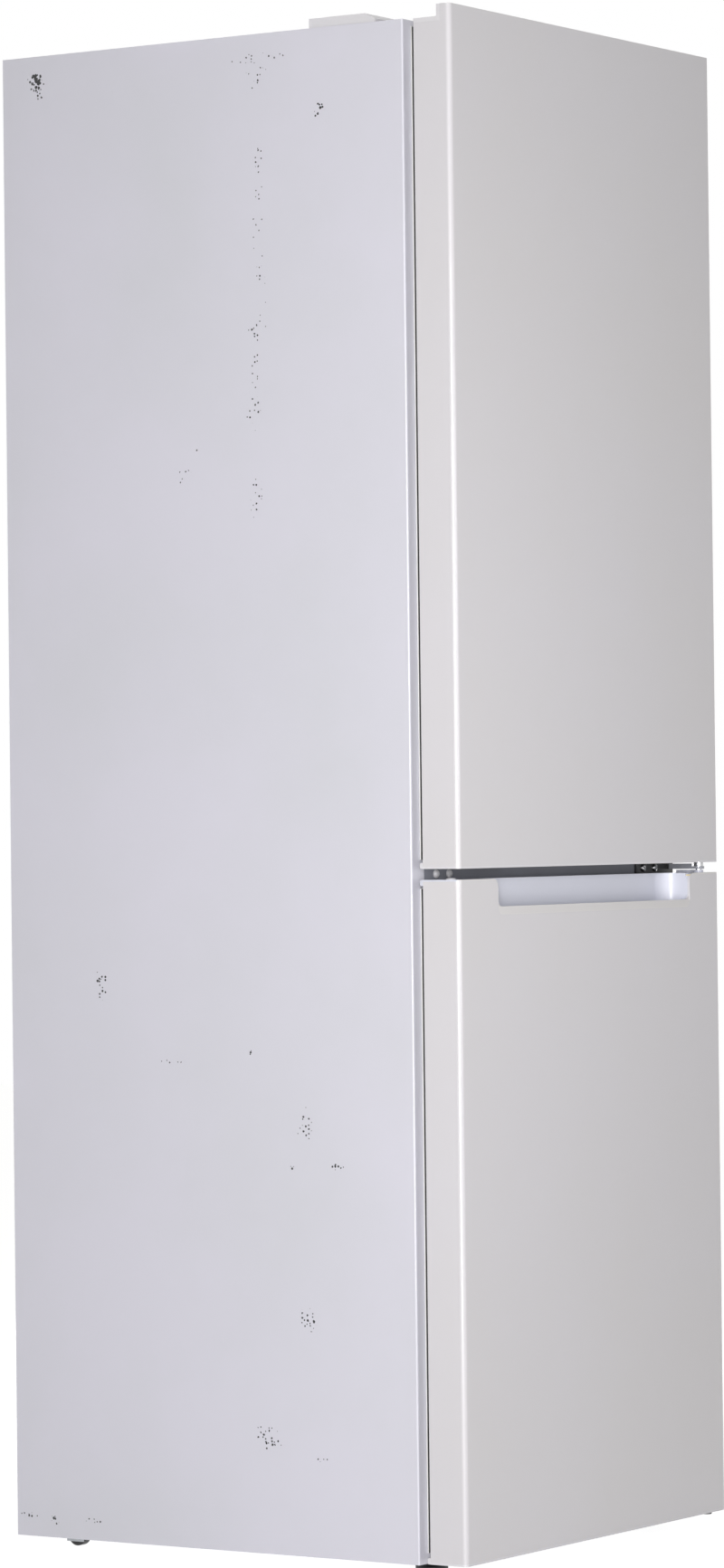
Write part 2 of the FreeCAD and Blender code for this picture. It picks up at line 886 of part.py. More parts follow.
def build_base_pan(holes):
    """Folded sheet: front lip, floor, and the wall and roof of the machine compartment."""
    sheet = s.pan_sheet
    lip_x = both_sides(right - s.flange_width)
    lip = block("pan_lip", lip_x, (flange, flange + sheet), (case_bottom, case_bottom + s.flange_width))
    floor_y = (flange + s.case_sheet, rear - s.back_sheet)
    floor = block(
        "pan_floor", both_sides(right - s.case_sheet), floor_y, (case_bottom, case_bottom + sheet)
    )
    machine_z = (case_bottom - s.cut_over, machine_top)
    opening = block("pan_opening", both_sides(machine_half), (machine_front, rear + s.cut_over), machine_z)
    cheek_y = (machine_front - sheet, rear - s.back_sheet)
    cheeks = [
        block("pan_cheek_left", (-machine_half - sheet, -machine_half), cheek_y, (case_bottom, machine_top)),
        block("pan_cheek_right", (machine_half, machine_half + sheet), cheek_y, (case_bottom, machine_top)),
    ]
    wall = block(
        "pan_wall",
        both_sides(machine_half),
        (machine_front - sheet, machine_front),
        (case_bottom, machine_top + sheet),
    )
    roof = block(
        "pan_roof",
        both_sides(machine_half + sheet),
        (machine_front - sheet, rear - s.roof_notch),
        (machine_top, machine_top + sheet),
    )
    nuts = []
    bores = []
    for side, x in (("left", -foot_x), ("right", foot_x)):
        at = (x, flange + s.foot_set_back)
        nut_span = (case_bottom, case_bottom + s.foot_nut_height)
        bore_span = (case_bottom - s.cut_over, case_bottom + s.cut_over)
        nuts.append(rod(f"foot_nut_{side}", "Z", at, s.foot_stem_radius + s.foot_nut_wall, nut_span))
        bores.append(rod(f"foot_bore_{side}", "Z", at, s.foot_stem_radius + s.foot_play, bore_span))
    sheet_form = together("pan_form", [lip, floor, wall, roof, *cheeks, *nuts])
    screws = bottom_screw_holes("pan_screw_hole")
    keep("base_pan", cut("base_pan", sheet_form, opening, *bores, *screws, *holes))
    return [lip, floor, wall, roof, *cheeks, *nuts]


def bottom_screw_holes(name):
    """Holes for the screws of the bottom hinge alone."""
    holes = []
    for index, (axis, sign, x, y, z) in enumerate(screw_places(), 1):
        if axis == "Z" and sign > 0:
            span = along(z, sign, s.screw_length)
            holes.append(rod(f"{name}_{index}", axis, (x, y), s.screw_radius + s.screw_clearance, span))
    return holes


def coil_level(row):
    """Height of one straight run of the condenser tube."""
    return machine_top + s.coil_start_height + s.coil_pitch * row


def condenser_plane():
    """Y of the condenser tube's centre line, close to the back panel."""
    return rear - s.back_sheet - s.seat_gap - s.tube_radius


def stub_start():
    """Centre of the compressor's discharge stub at its open end."""
    x = compressor_x + s.shell_radius + s.stub_length
    return (x, rear - s.compressor_rear_space, shell_low() + s.stub_height)


def suction_stub():
    """Centre of the compressor's suction stub at its open end, beside and below the discharge stub."""
    x, y, z = stub_start()
    return (x, y + s.stub_pitch, z - s.stub_pitch)


def suction_points():
    """Path of the wide line from the top of the evaporator down to the compressor."""
    outlet = evaporator_passes()[-1]
    stub = suction_stub()
    side = (riser_x, outlet[1], outlet[2])
    return [outlet, side, (riser_x, stub[1], outlet[2]), (riser_x, stub[1], stub[2]), stub]


def capillary_riser_y():
    """Y of the capillary where it climbs along the wide line."""
    return suction_stub()[1] - s.suction_radius - s.capillary_radius - s.line_clearance


def capillary_points(outlet):
    """Path of the thin line from the drier's outlet, along under the roof, to the foot of the evaporator."""
    x, y, z = outlet
    front = y - s.capillary_start
    climb = capillary_riser_y()
    inlet = evaporator_passes()[0]
    points = [outlet, (x, front, z), (riser_x, front, z), (riser_x, climb, z), (riser_x, climb, inlet[2])]
    return [*points, (riser_x, inlet[1], inlet[2]), inlet]


def line_holes():
    """Holes for both lines through the roof of the machine compartment, the foam and the liner."""
    span = (machine_top - s.cut_over, step_top + s.cut_over)
    wide = rod("suction_hole", "Z", (riser_x, suction_stub()[1]), s.suction_radius + s.line_clearance, span)
    thin_radius = s.capillary_radius + s.line_clearance
    thin = rod("capillary_hole", "Z", (riser_x, capillary_riser_y()), thin_radius, span)
    return [wide, thin]


def build_refrigerant_tubes():
    """Condenser behind the foam, and the two lines between the machine compartment and the evaporator."""
    plane = condenser_plane()
    half = coil_half
    stub = stub_start()
    points = [stub, (half, stub[1], stub[2]), (half, plane, stub[2])]
    for row in range(COIL_ROWS):
        level = coil_level(row)
        sides = (half, -half) if row % 2 == 0 else (-half, half)
        points += [(side, plane, level) for side in sides]
    return_x = -half - s.tube_bend * 2
    points[-1] = (return_x, plane, coil_level(COIL_ROWS - 1))
    end_level = machine_top - s.tube_drop
    points += [(return_x, plane, end_level), (return_x, plane - s.drier_inlet_run, end_level)]
    condenser = tube("condenser_tube", points, s.tube_radius, s.tube_bend)
    suction = tube("suction_line", suction_points(), s.suction_radius, s.suction_bend)
    outlet = (return_x, points[-1][1] - s.drier_length, end_level)
    capillary = tube("capillary", capillary_points(outlet), s.capillary_radius, s.capillary_bend)
    keep("refrigerant_tubes", group("refrigerant_tubes", [condenser, suction, capillary]))
    build_filter_drier(points[-1])
    room = s.tube_groove / 2
    depth = (rear - s.back_sheet - s.tube_groove, rear + s.cut_over)
    top = coil_level(COIL_ROWS - 1) + room
    grooves = []
    for row in range(COIL_ROWS):
        span = (return_x - room, half + room)
        grooves.append(block(f"coil_groove_{row}", span, depth, both_sides_of(coil_level(row), room)))
    low = machine_top - s.cut_over
    right_end = (half - s.tube_bend - room, half + room)
    left_end = (return_x - room, -half + s.tube_bend + room)
    for side, span in (("right", right_end), ("left", left_end)):
        grooves.append(block(f"coil_groove_{side}", span, depth, (low, top)))
    return grooves


def build_cabinet_foam(voids):
    """Polyurethane foam that fills every space between the case and the liners."""
    sheet = s.case_sheet
    form = block(
        "foam_form",
        (left + sheet, right - sheet),
        (flange + sheet, rear - s.back_sheet),
        (case_bottom, case_top - sheet),
    )
    machine = block(
        "machine_space",
        both_sides(machine_half),
        (machine_front - s.pan_sheet, rear + s.cut_over),
        (case_bottom - s.cut_over, machine_top),
    )
    wells = []
    for side, x in (("left", -foot_x), ("right", foot_x)):
        at = (x, flange + s.foot_set_back)
        span = (case_bottom, case_bottom + s.foot_stem_length)
        wells.append(rod(f"foot_well_{side}", "Z", at, s.foot_stem_radius + s.foot_nut_wall, span))
    keep("cabinet_foam", cut("cabinet_foam", form, machine, *wells, *voids))


def build_back_panel():
    """Rear sheet, with a leg on each side of the machine compartment."""
    sheet = block(
        "back_sheet",
        both_sides(right - s.case_sheet),
        (rear - s.back_sheet, rear),
        (case_bottom, case_top - s.case_sheet),
    )
    opening = block(
        "back_opening",
        both_sides(machine_half),
        (rear - s.cut_over, rear + s.cut_over),
        (case_bottom - s.cut_over, machine_top + s.pan_sheet),
    )
    keep("back_panel", cut("back_panel", sheet, opening))


def ear_spans(centre):
    """X spans of the two ears beside a roller."""
    inner = s.roller_width / 2 + s.roller_side_gap
    outer = inner + s.ear_sheet
    return ((centre - outer, centre - inner), (centre + inner, centre + outer))


def build_compressor_deck():
    """Steel deck with turned-down ends and a pair of ears for each roller."""
    half = machine_half - s.seat_gap
    y = (machine_front + s.seat_gap, rear - s.seat_gap)
    plate = block("deck_plate", both_sides(half), y, (deck_top - s.deck_sheet, deck_top))
    pieces = [plate]
    roller_y = rear - s.roller_rear_space
    for side, sign in (("left", -1), ("right", 1)):
        edge = (half - s.deck_sheet, half) if sign > 0 else (-half, -half + s.deck_sheet)
        pieces.append(block(f"deck_end_{side}", edge, y, (case_bottom, deck_top)))
        centre = (half - s.roller_inset) * sign
        for index, x in enumerate(ear_spans(centre)):
            ear_y = (roller_y - s.ear_half_length, roller_y + s.ear_half_length)
            ear_z = (s.roller_radius - s.roller_axle_radius - s.ear_sheet * 2, deck_top)
            pieces.append(block(f"ear_{side}_{index}", x, ear_y, ear_z))
    bores = []
    for side, sign in (("left", -1), ("right", 1)):
        centre = (half - s.roller_inset) * sign
        reach = s.roller_width
        bores.append(
            rod(
                f"axle_bore_{side}",
                "X",
                (roller_y, s.roller_radius),
                s.roller_axle_radius + s.roller_axle_play,
                (centre - reach, centre + reach),
            )
        )
    for index, (x, y_hole) in enumerate(mount_places()):
        span = (case_bottom - s.cut_over, deck_top + s.cut_over)
        bores.append(rod(f"deck_mount_hole_{index}", "Z", (x, y_hole), s.mount_bolt_radius, span))
    keep("compressor_deck", cut("compressor_deck", together("deck_form", pieces), *bores))


def build_rear_rollers():
    half = machine_half - s.seat_gap
    reach = s.roller_width / 2 + s.roller_side_gap + s.ear_sheet
    edge = s.roller_width / 2
    outline = [
        (0, -reach),
        (s.roller_axle_radius, -reach),
        (s.roller_axle_radius, -edge),
        (s.roller_radius - s.roller_crown, -edge),
        (s.roller_radius, -edge + s.roller_crown),
        (s.roller_radius, edge - s.roller_crown),
        (s.roller_radius - s.roller_crown, edge),
        (s.roller_axle_radius, edge),
        (s.roller_axle_radius, reach),
        (0, reach),
    ]
    for side, sign in (("left", -1), ("right", 1)):
        name = f"rear_roller_{side}"
        place = ((half - s.roller_inset) * sign, rear - s.roller_rear_space, s.roller_radius)
        keep(name, turned(name, outline, "X", place))


def build_levelling_feet():
    outline = [
        (0, 0),
        (s.foot_radius - s.foot_rim / 2, 0),
        (s.foot_radius, s.foot_rim / 2),
        (s.foot_radius, s.foot_thickness - s.foot_rim / 2),
        (s.foot_radius - s.foot_rim, s.foot_thickness),
        (s.foot_stem_radius, s.foot_thickness),
        (s.foot_stem_radius, s.foot_stem_length),
        (0, s.foot_stem_length),
    ]
    for side, x in (("left", -foot_x), ("right", foot_x)):
        name = f"levelling_foot_{side}"
        keep(name, turned(name, outline, "Z", (x, flange + s.foot_set_back, 0)))


def shell_low():
    """Underside of the compressor's shell, which hangs between its mounts."""
    return deck_top + s.grommet_height / 2


def mount_places():
    """Centres of the four compressor mounts."""
    middle_y = rear - s.compressor_rear_space
    return [
        (compressor_x + s.mount_spread_x * x_sign, middle_y + s.mount_spread_y * y_sign)
        for x_sign in (-1, 1)
        for y_sign in (-1, 1)
    ]


def build_compressor():
    """Welded hermetic shell on its mounting plate, with the discharge stub."""
    plate_low = deck_top + s.grommet_height
    plate_high = plate_low + s.mount_plate_sheet
    middle = s.shell_height * SHELL_SEAM_SHARE
    dome = s.shell_dome
    radius = s.shell_radius
    centre = (compressor_x, rear - s.compressor_rear_space)
    lower_dome = [(radius * out, dome * up) for out, up in SHELL_DOME_SHARES]
    upper_dome = [(radius * out, s.shell_height - dome * up) for out, up in reversed(SHELL_DOME_SHARES)]
    outline = [
        (0, 0),
        *lower_dome,
        (radius, dome),
        (radius, middle - s.shell_seam),
        (radius + s.shell_seam, middle - s.shell_seam),
        (radius + s.shell_seam, middle + s.shell_seam),
        (radius, middle + s.shell_seam),
        (radius, s.shell_height - dome),
        *upper_dome,
        (0, s.shell_height),
    ]
    shell = turned("compressor_shell", outline, "Z", (*centre, shell_low()))
    reach_x = s.mount_spread_x + s.mount_plate_margin
    reach_y = s.mount_spread_y + s.mount_plate_margin
    plate = rounded_block(
        "compressor_plate",
        (centre[0] - reach_x, centre[0] + reach_x),
        (centre[1] - reach_y, centre[1] + reach_y),
        (plate_low, plate_high),
        s.mount_plate_margin,
    )
    end_x, stub_y, stub_z = stub_start()
    stubs = []
    for name, aside, drop in (("discharge", 0, 0), ("suction", 1, 1), ("process", -1, 1)):
        at = (stub_y + s.stub_pitch * aside, stub_z - s.stub_pitch * drop)
        stubs.append(rod(f"stub_{name}", "X", at, s.stub_radius, (centre[0], end_x)))
    holes = []
    for index, place in enumerate(mount_places()):
        span = (plate_low - s.cut_over, plate_high + s.bolt_head_height)
        holes.append(rod(f"plate_hole_{index}", "Z", place, s.mount_hole_radius, span))
    drilled = cut("compressor_plate_drilled", plate, *holes)
    keep("compressor", together("compressor", [shell, drilled, *stubs]))
    build_terminal_cover(centre)


def build_terminal_cover(centre):
    """Box over the start relay and the mains terminals, with the mouth for the mains lead."""
    x_high = centre[0] - s.shell_radius - s.shell_seam - s.seat_gap
    x_low = x_high - s.terminal_depth
    z_low = shell_low() + s.shell_dome
    y = (centre[1] - s.terminal_width / 2, centre[1] + s.terminal_width / 2)
    z = (z_low, z_low + s.terminal_height)
    box = slab("terminal_box", "YZ", rectangle(y, z), (x_low, x_high), [((0, 1, 2, 3), s.terminal_radius)])
    at = (centre[1], z_low + s.terminal_height / 4)
    gland = rod("terminal_gland", "X", at, s.gland_radius, (x_low - s.gland_length, x_low))
    mouth = rod("terminal_mouth", "X", at, s.gland_radius / 2, (x_low - s.cut_over, x_low))
    keep("terminal_cover", cut("terminal_cover", together("terminal_form", [box, gland]), mouth))


def build_compressor_mounts():
    grommets = []
    bolts = []
    low = deck_top
    plate_high = deck_top + s.grommet_height + s.mount_plate_sheet
    for index, place in enumerate(mount_places()):
        ring = rod(f"grommet_body_{index}", "Z", place, s.grommet_radius, (low, low + s.grommet_height))
        neck_span = (low, plate_high)
        neck = rod(f"grommet_neck_{index}", "Z", place, s.mount_hole_radius, neck_span)
        bore_span = (low - s.cut_over, plate_high + s.cut_over)
        bore = rod(f"grommet_bore_{index}", "Z", place, s.mount_bolt_radius, bore_span)
        body = together(f"grommet_form_{index}", [ring, neck])
        grommets.append(cut(f"grommet_{index}", body, bore))
        shank_span = (low - s.deck_sheet, plate_high)
        shank = rod(f"mount_shank_{index}", "Z", place, s.mount_bolt_radius, shank_span)
        head_span = (plate_high, plate_high + s.bolt_head_height)
        head = rod(f"mount_head_{index}", "Z", place, s.bolt_head_radius, head_span)
        bolts.append(together(f"mount_bolt_{index}", [shank, head]))
    keep("compressor_grommets", group("compressor_grommets", grommets))
    keep("compressor_bolts", group("compressor_bolts", bolts))


def build_filter_drier(inlet):
    """Copper drier on the outlet end of the condenser tube."""
    radius = s.drier_radius
    neck = s.drier_neck
    length = s.drier_length
    outline = [
        (0, 0),
        (s.tube_radius, 0),
        (radius, neck),
        (radius, length - neck),
        (s.tube_radius, length),
        (0, length),
    ]
    drier = turned("filter_drier", outline, "Y", inlet)
    drier.Placement.Rotation = FreeCAD.Rotation(AXIS_VECTORS["Z"], -AXIS_VECTORS["Y"])
    keep("filter_drier", drier)


def build_drain_tray():
    """Open tray for melt water, between the left cheek and the compressor's plate."""
    y_mid = rear - s.compressor_rear_space
    plate_left = compressor_x - s.mount_spread_x - s.mount_plate_margin
    x = (s.drain_tray_side_space - machine_half, plate_left - s.drain_tray_shell_gap)
    y = (y_mid - s.drain_tray_depth / 2, y_mid + s.drain_tray_depth / 2)
    z = (deck_top, deck_top + s.drain_tray_height)
    outside, inside = open_box("drain_tray", x, y, z, s.liner_sheet, s.drawer_radius)
    keep("drain_tray", cut("drain_tray", outside, inside))


def arm_outline(end_y, wide, wide_edge):
    """Plan of a hinge arm that narrows from its plate to the pin."""
    half = s.arm_half_width
    straight_y = axis_y + half * ARM_STRAIGHT_SHARE
    return [
        (axis_x - half, axis_y - half),
        (axis_x + half, axis_y - half),
        (axis_x + half, straight_y),
        (right - wide_edge, end_y),
        (right - wide_edge - wide, end_y),
        (axis_x - half, straight_y),
    ]


def hinge_pin(name, span, collar):
    """Pin with a collar, on which the door above it rests."""
    at = (axis_x, axis_y)
    pin = rod(name + "_shank", "Z", at, s.hinge_pin_radius, span)
    ring = rod(name + "_collar", "Z", at, s.hinge_pin_radius + s.socket_wall / 2, collar)
    return together(name, [pin, ring])


def build_top_hinge(holes):
    plate_y = flange + s.top_plate_start
    z = (case_top, case_top + s.hinge_sheet)
    outline = arm_outline(plate_y, s.top_plate_width, s.hinge_edge)
    arm = slab("top_hinge_arm", "XY", outline, z, [((0, 1), s.arm_half_width * ROUND_END_SHARE)])
    x = (right - s.hinge_edge - s.top_plate_width, right - s.hinge_edge)
    plate = block("top_hinge_plate", x, (plate_y, plate_y + s.top_plate_length), z)
    pin_span = (case_top - s.pin_depth, case_top + s.hinge_sheet)
    bore = rod("top_pin_bore", "Z", (axis_x, axis_y), s.hinge_pin_radius, pin_span)
    keep("top_hinge", cut("top_hinge", together("top_hinge_form", [arm, plate]), bore, *holes))
    return rod("top_pin", "Z", (axis_x, axis_y), s.hinge_pin_radius, pin_span)


def build_middle_hinge(holes):
    """Plate on the cross rail and a ribbed arm that carries the pin of both doors."""
    sheet = s.hinge_sheet
    x = (right - s.middle_plate_edge - s.middle_plate_width, right - s.middle_plate_edge)
    half = s.middle_plate_height / 2
    plate = block("middle_hinge_plate", x, (flange - sheet, flange), (rail_middle - half, rail_middle + half))
    arm_low = rail_middle - sheet / 2 - s.middle_arm_rise
    arm = slab(
        "middle_hinge_arm",
        "XY",
        rectangle(both_sides_of(axis_x, s.arm_half_width), (axis_y - s.arm_half_width, flange - sheet)),
        (arm_low, arm_low + sheet),
        [((0, 1), s.arm_half_width * ROUND_END_SHARE)],
    )
    rib = block(
        "middle_hinge_rib",
        (axis_x - s.arm_half_width, axis_x - s.arm_half_width + sheet),
        (axis_y + s.arm_half_width, flange - sheet),
        (arm_low, arm_low + s.middle_arm_rib),
    )
    span = (rail_middle - s.pin_depth - s.doors_gap / 2, rail_middle + s.pin_depth + s.doors_gap / 2)
    bore = rod("middle_pin_bore", "Z", (axis_x, axis_y), s.hinge_pin_radius, span)
    form = together("middle_hinge_form", [plate, arm, rib])
    keep("middle_hinge", cut("middle_hinge", form, bore, *holes))
    collar = (arm_low + sheet, rail_middle + s.doors_gap / 2 - s.seat_gap)
    return hinge_pin("middle_pin", span, collar)


def both_sides_of(middle, half):
    """The span of a given half width about a middle."""
    return (middle - half, middle + half)


def build_bottom_hinge(holes):
    z = (case_bottom - s.hinge_sheet, case_bottom)
    outline = arm_outline(flange, s.bottom_plate_width, s.hinge_edge)
    arm = slab("bottom_hinge_arm", "XY", outline, z, [((0, 1), s.arm_half_width * ROUND_END_SHARE)])
    x = (right - s.hinge_edge - s.bottom_plate_width, right - s.hinge_edge)
    plate = block("bottom_hinge_plate", x, (flange, flange + s.bottom_plate_length), z)
    pin_span = (case_bottom - s.hinge_sheet, s.door_floor_gap + s.pin_depth)
    bore = rod("bottom_pin_bore", "Z", (axis_x, axis_y), s.hinge_pin_radius, pin_span)
    foot_room = rod(
        "foot_room",
        "Z",
        (foot_x, flange + s.foot_set_back),
        s.foot_stem_radius + s.foot_nut_wall,
        (z[0] - s.cut_over, z[1] + s.cut_over),
    )
    form = together("bottom_hinge_form", [arm, plate])
    keep("bottom_hinge", cut("bottom_hinge", form, bore, foot_room, *holes))
    return hinge_pin("bottom_pin", pin_span, (case_bottom, s.door_floor_gap - s.seat_gap))


def cover_outline(shrink):
    """Side view of a cover on the case top: a sloped nose, a flat top and a square rear end."""
    start = flange + s.cover_start + shrink
    top = case_top + s.cover_height - shrink
    end = flange + s.cover_start + s.cover_length - shrink
    low = case_top if number(shrink) == 0 else case_top - s.cut_over
    nose = case_top + s.cover_nose - shrink
    return [
        (start, low),
        (end, low),
        (end, top),
        (start + s.cover_slope, top),
        (start, nose),
    ]


def build_top_covers():
    """Hollow covers: one over the top hinge, one that blanks the other side."""
    for name, sign in (("top_hinge_cover", 1), ("top_blanking_cover", -1)):
        outer_x = (right - s.cover_edge) * sign
        inner_x = (right - s.cover_edge - s.cover_width) * sign
        x = (inner_x, outer_x) if sign > 0 else (outer_x, inner_x)
        wall = s.cover_wall
        outside = slab(name + "_outside", "YZ", cover_outline(0), x)
        inside = slab(name + "_inside", "YZ", cover_outline(wall), (x[0] + wall, x[1] - wall))
        tools = [inside]
        if sign > 0:
            slot_right = right - s.hinge_edge
            slot_x = (slot_right - s.top_plate_width - s.seat_gap, slot_right + s.seat_gap)
            slot_y = (flange + s.cover_start - s.cut_over, flange + s.cover_start + wall * 2)
            slot_z = (case_top - s.cut_over, case_top + s.hinge_sheet + s.seat_gap)
            tools.append(block(name + "_slot", slot_x, slot_y, slot_z))
        keep(name, cut(name, outside, *tools))


def shelf_places():
    """Underside heights of the glass shelves above the crisper cover."""
    return [shelf_level(level) for level in range(1, len(SHELF_SHARES))]


def build_shelves():
    half = fridge_half - s.shelf_side_gap
    glass_y = (shelf_front + s.trim_wall, shelf_back - s.trim_wall)
    trims = []
    levels = [("crisper_cover", shelf_level(0))]
    levels += [(f"glass_shelf_{count}", level) for count, level in enumerate(shelf_places(), 1)]
    for name, low in levels:
        z = (low, low + s.shelf_glass)
        keep(name, block(name, both_sides(half), glass_y, z))
        middle = low + s.shelf_glass / 2
        rear_half = s.rear_trim_height / 2
        for end, y, trim_half in (
            ("front", (shelf_front, shelf_front + s.trim_depth), s.trim_height / 2),
            ("rear", (shelf_back - s.trim_depth, shelf_back), rear_half),
        ):
            lift = middle if end == "front" else middle + rear_half / 2
            inset = half - s.shelf_rib_depth
            bar = block(f"{name}_{end}_bar", both_sides(inset), y, (lift - trim_half, lift + trim_half))
            slot = block(f"{name}_{end}_slot", both_sides(half), glass_y, z)
            trims.append(cut(f"{name}_{end}_trim", bar, slot))
    keep("shelf_trims", group("shelf_trims", trims))


def build_drawer(name, half, y, z):
    """A moulded drawer: open tray, raised front and a grip slot in it."""
    wall = s.drawer_wall
    body_y = (y[0] + s.drawer_front, y[1])
    outside, inside = open_box(name, both_sides(half), body_y, z, wall, s.drawer_radius)
    face = rounded_block(
        name + "_face",
        both_sides(half),
        (y[0], y[0] + s.drawer_front + wall),
        (z[0], z[1] + s.drawer_front_rise),
        wall,
        corners=(0, 1),
    )
    grip_top = z[1] + s.drawer_front_rise - s.drawer_grip_drop
    grip_outline = rectangle(both_sides(s.drawer_grip_width / 2), (grip_top - s.drawer_grip_height, grip_top))
    grip = slab(
        name + "_grip",
        "XZ",
        grip_outline,
        (y[0] - s.cut_over, y[0] + s.cut_over),
        [((0, 1, 2, 3), s.drawer_grip_height * GRIP_ROUND_SHARE)],
    )
    tray = cut(name + "_tray", outside, inside)
    keep(name, cut(name, together(name + "_form", [tray, face]), grip))


def build_drawers():
    front_y = flange + s.drawer_set_back
    for index in range(DRAWERS):
        deep = freezer_back - s.air_space - s.drawer_head_room
        shallow = step_front - s.drawer_head_room
        y = (front_y, shallow if index == DRAWERS - 1 else deep)
        z = (drawer_floor(index), drawer_top(index))
        build_drawer(f"freezer_drawer_{index + 1}", drawer_half, y, z)
    crisper_z = (fridge_floor + s.seat_gap, fridge_floor + s.crisper_height - s.drawer_front_rise)
    y = (shelf_front, fridge_back - s.drawer_head_room)
    build_drawer("crisper_drawer", crisper_half, y, crisper_z)


def build_air_duct():
    """Multi-flow duct on the fridge rear wall with a pair of vents at each level."""
    x = both_sides(s.duct_width / 2)
    z = (fridge_floor + s.duct_bottom_gap, fridge_ceiling - s.duct_top_gap)
    y = (fridge_back - s.duct_depth, fridge_back)
    form = rounded_block("duct_form", x, y, z, s.duct_edge_radius, corners=(0, 1))
    slots = []
    pitch = (z[1] - z[0]) / DUCT_SLOTS
    for index in range(DUCT_SLOTS):
        middle = z[0] + pitch * (index + 0.5)
        for side, sign in (("left", -1), ("right", 1)):
            centre = s.duct_width / 4 * sign
            slot_x = both_sides_of(centre, s.duct_slot_width / 2)
            slot_z = both_sides_of(middle, s.duct_slot_height / 2)
            slot_y = (y[0] - s.cut_over, y[0] + s.duct_depth / 2)
            slots.append(block(f"duct_slot_{side}_{index}", slot_x, slot_y, slot_z))
    keep("air_duct", cut("air_duct", form, *slots))


def build_control_box():
    """Lamp and thermostat housing on the fridge ceiling."""
    y_low = flange + s.control_set_back
    y = (y_low, y_low + s.control_depth)
    z = (fridge_ceiling - s.control_height, fridge_ceiling)
    form = rounded_block("control_form", both_sides(s.control_width / 2), y, z, s.control_radius)
    y_mid = y_low + s.control_depth / 2
    lens_x = both_sides_of(-s.lens_offset, s.lens_width / 2)
    lens_y = both_sides_of(y_mid, s.lens_depth / 2)
    seat = block("lens_seat", lens_x, lens_y, (z[0] - s.cut_over, z[0] + s.lens_thickness))
    spindle_top = z[0] + s.knob_height
    spindle_at = (s.knob_offset, y_mid)
    bore = rod(
        "spindle_bore",
        "Z",
        spindle_at,
        s.spindle_radius + s.spindle_play,
        (z[0] - s.cut_over, spindle_top),
    )
    keep("control_box", cut("control_box", form, seat, bore))
    lens_z = (z[0] - s.lens_thickness, z[0] + s.lens_thickness)
    lens = rounded_block("lamp_lens", lens_x, lens_y, lens_z, s.lens_thickness)
    keep("lamp_lens", lens)
    build_knob(z[0], spindle_at)


def build_knob(underside, at):
    """Temperature knob with a pointer grip, on its spindle."""
    top = underside - s.seat_gap
    skirt = rod("knob_skirt_disc", "Z", at, s.knob_radius, (top - s.knob_skirt, top))
    grip_half = s.knob_radius * KNOB_GRIP_SHARE
    grip = slab(
        "knob_grip",
        "XY",
        rectangle(both_sides_of(at[0], s.knob_grip_width / 2), both_sides_of(at[1], grip_half)),
        (top - s.knob_height, top - s.knob_skirt),
        [((0, 1, 2, 3), s.knob_grip_width * GRIP_ROUND_SHARE)],
    )
    spindle_z = (top - s.knob_skirt, top + s.knob_height * SPINDLE_SHARE)
    spindle = rod("knob_spindle", "Z", at, s.spindle_radius, spindle_z)
    keep("thermostat_knob", together("thermostat_knob", [skirt, grip, spindle]))


def cover_plane():
    """Y of the front face of the freezer's rear air cover."""
    return freezer_back - s.air_space


def fan_height():
    """Height of the fan axis."""
    return freezer_ceiling - s.fan_ceiling_gap


def build_evaporator_cover():
    y = (cover_plane(), cover_plane() + s.cover_sheet)
    z = (step_top + s.seat_gap, freezer_ceiling - s.seat_gap)
    outline = rectangle(both_sides(freezer_half - s.seat_gap), z)
    panel = slab("air_cover_panel", "XZ", outline, y, [((0, 1, 2, 3), s.liner_edge_radius)])
    cut_y = (y[0] - s.cut_over, y[1] + s.cut_over)
    slots = []
    for index in range(GUARD_SLOTS):
        offset = s.fan_guard_pitch * (index - (GUARD_SLOTS - 1) / 2)
        share = math.sqrt(max(0.0, 1 - (offset.value / s.fan_radius.value) ** 2))
        slot_x = both_sides(s.fan_radius * share)
        slot_z = both_sides_of(fan_height() + offset, s.fan_guard_slot / 2)
        slots.append(block(f"guard_slot_{index}", slot_x, cut_y, slot_z))
    for side, sign in (("left", -1), ("right", 1)):
        slot_x = both_sides_of(s.air_slot_width * sign, s.air_slot_width / 3)
        for level, lift in (("upper", s.evaporator_height), ("lower", s.evaporator_rise)):
            slot_z = both_sides_of(step_top + lift, s.air_slot_height / 2)
            slots.append(block(f"air_slot_{side}_{level}", slot_x, cut_y, slot_z))
    keep("evaporator_cover", cut("evaporator_cover", panel, *slots))


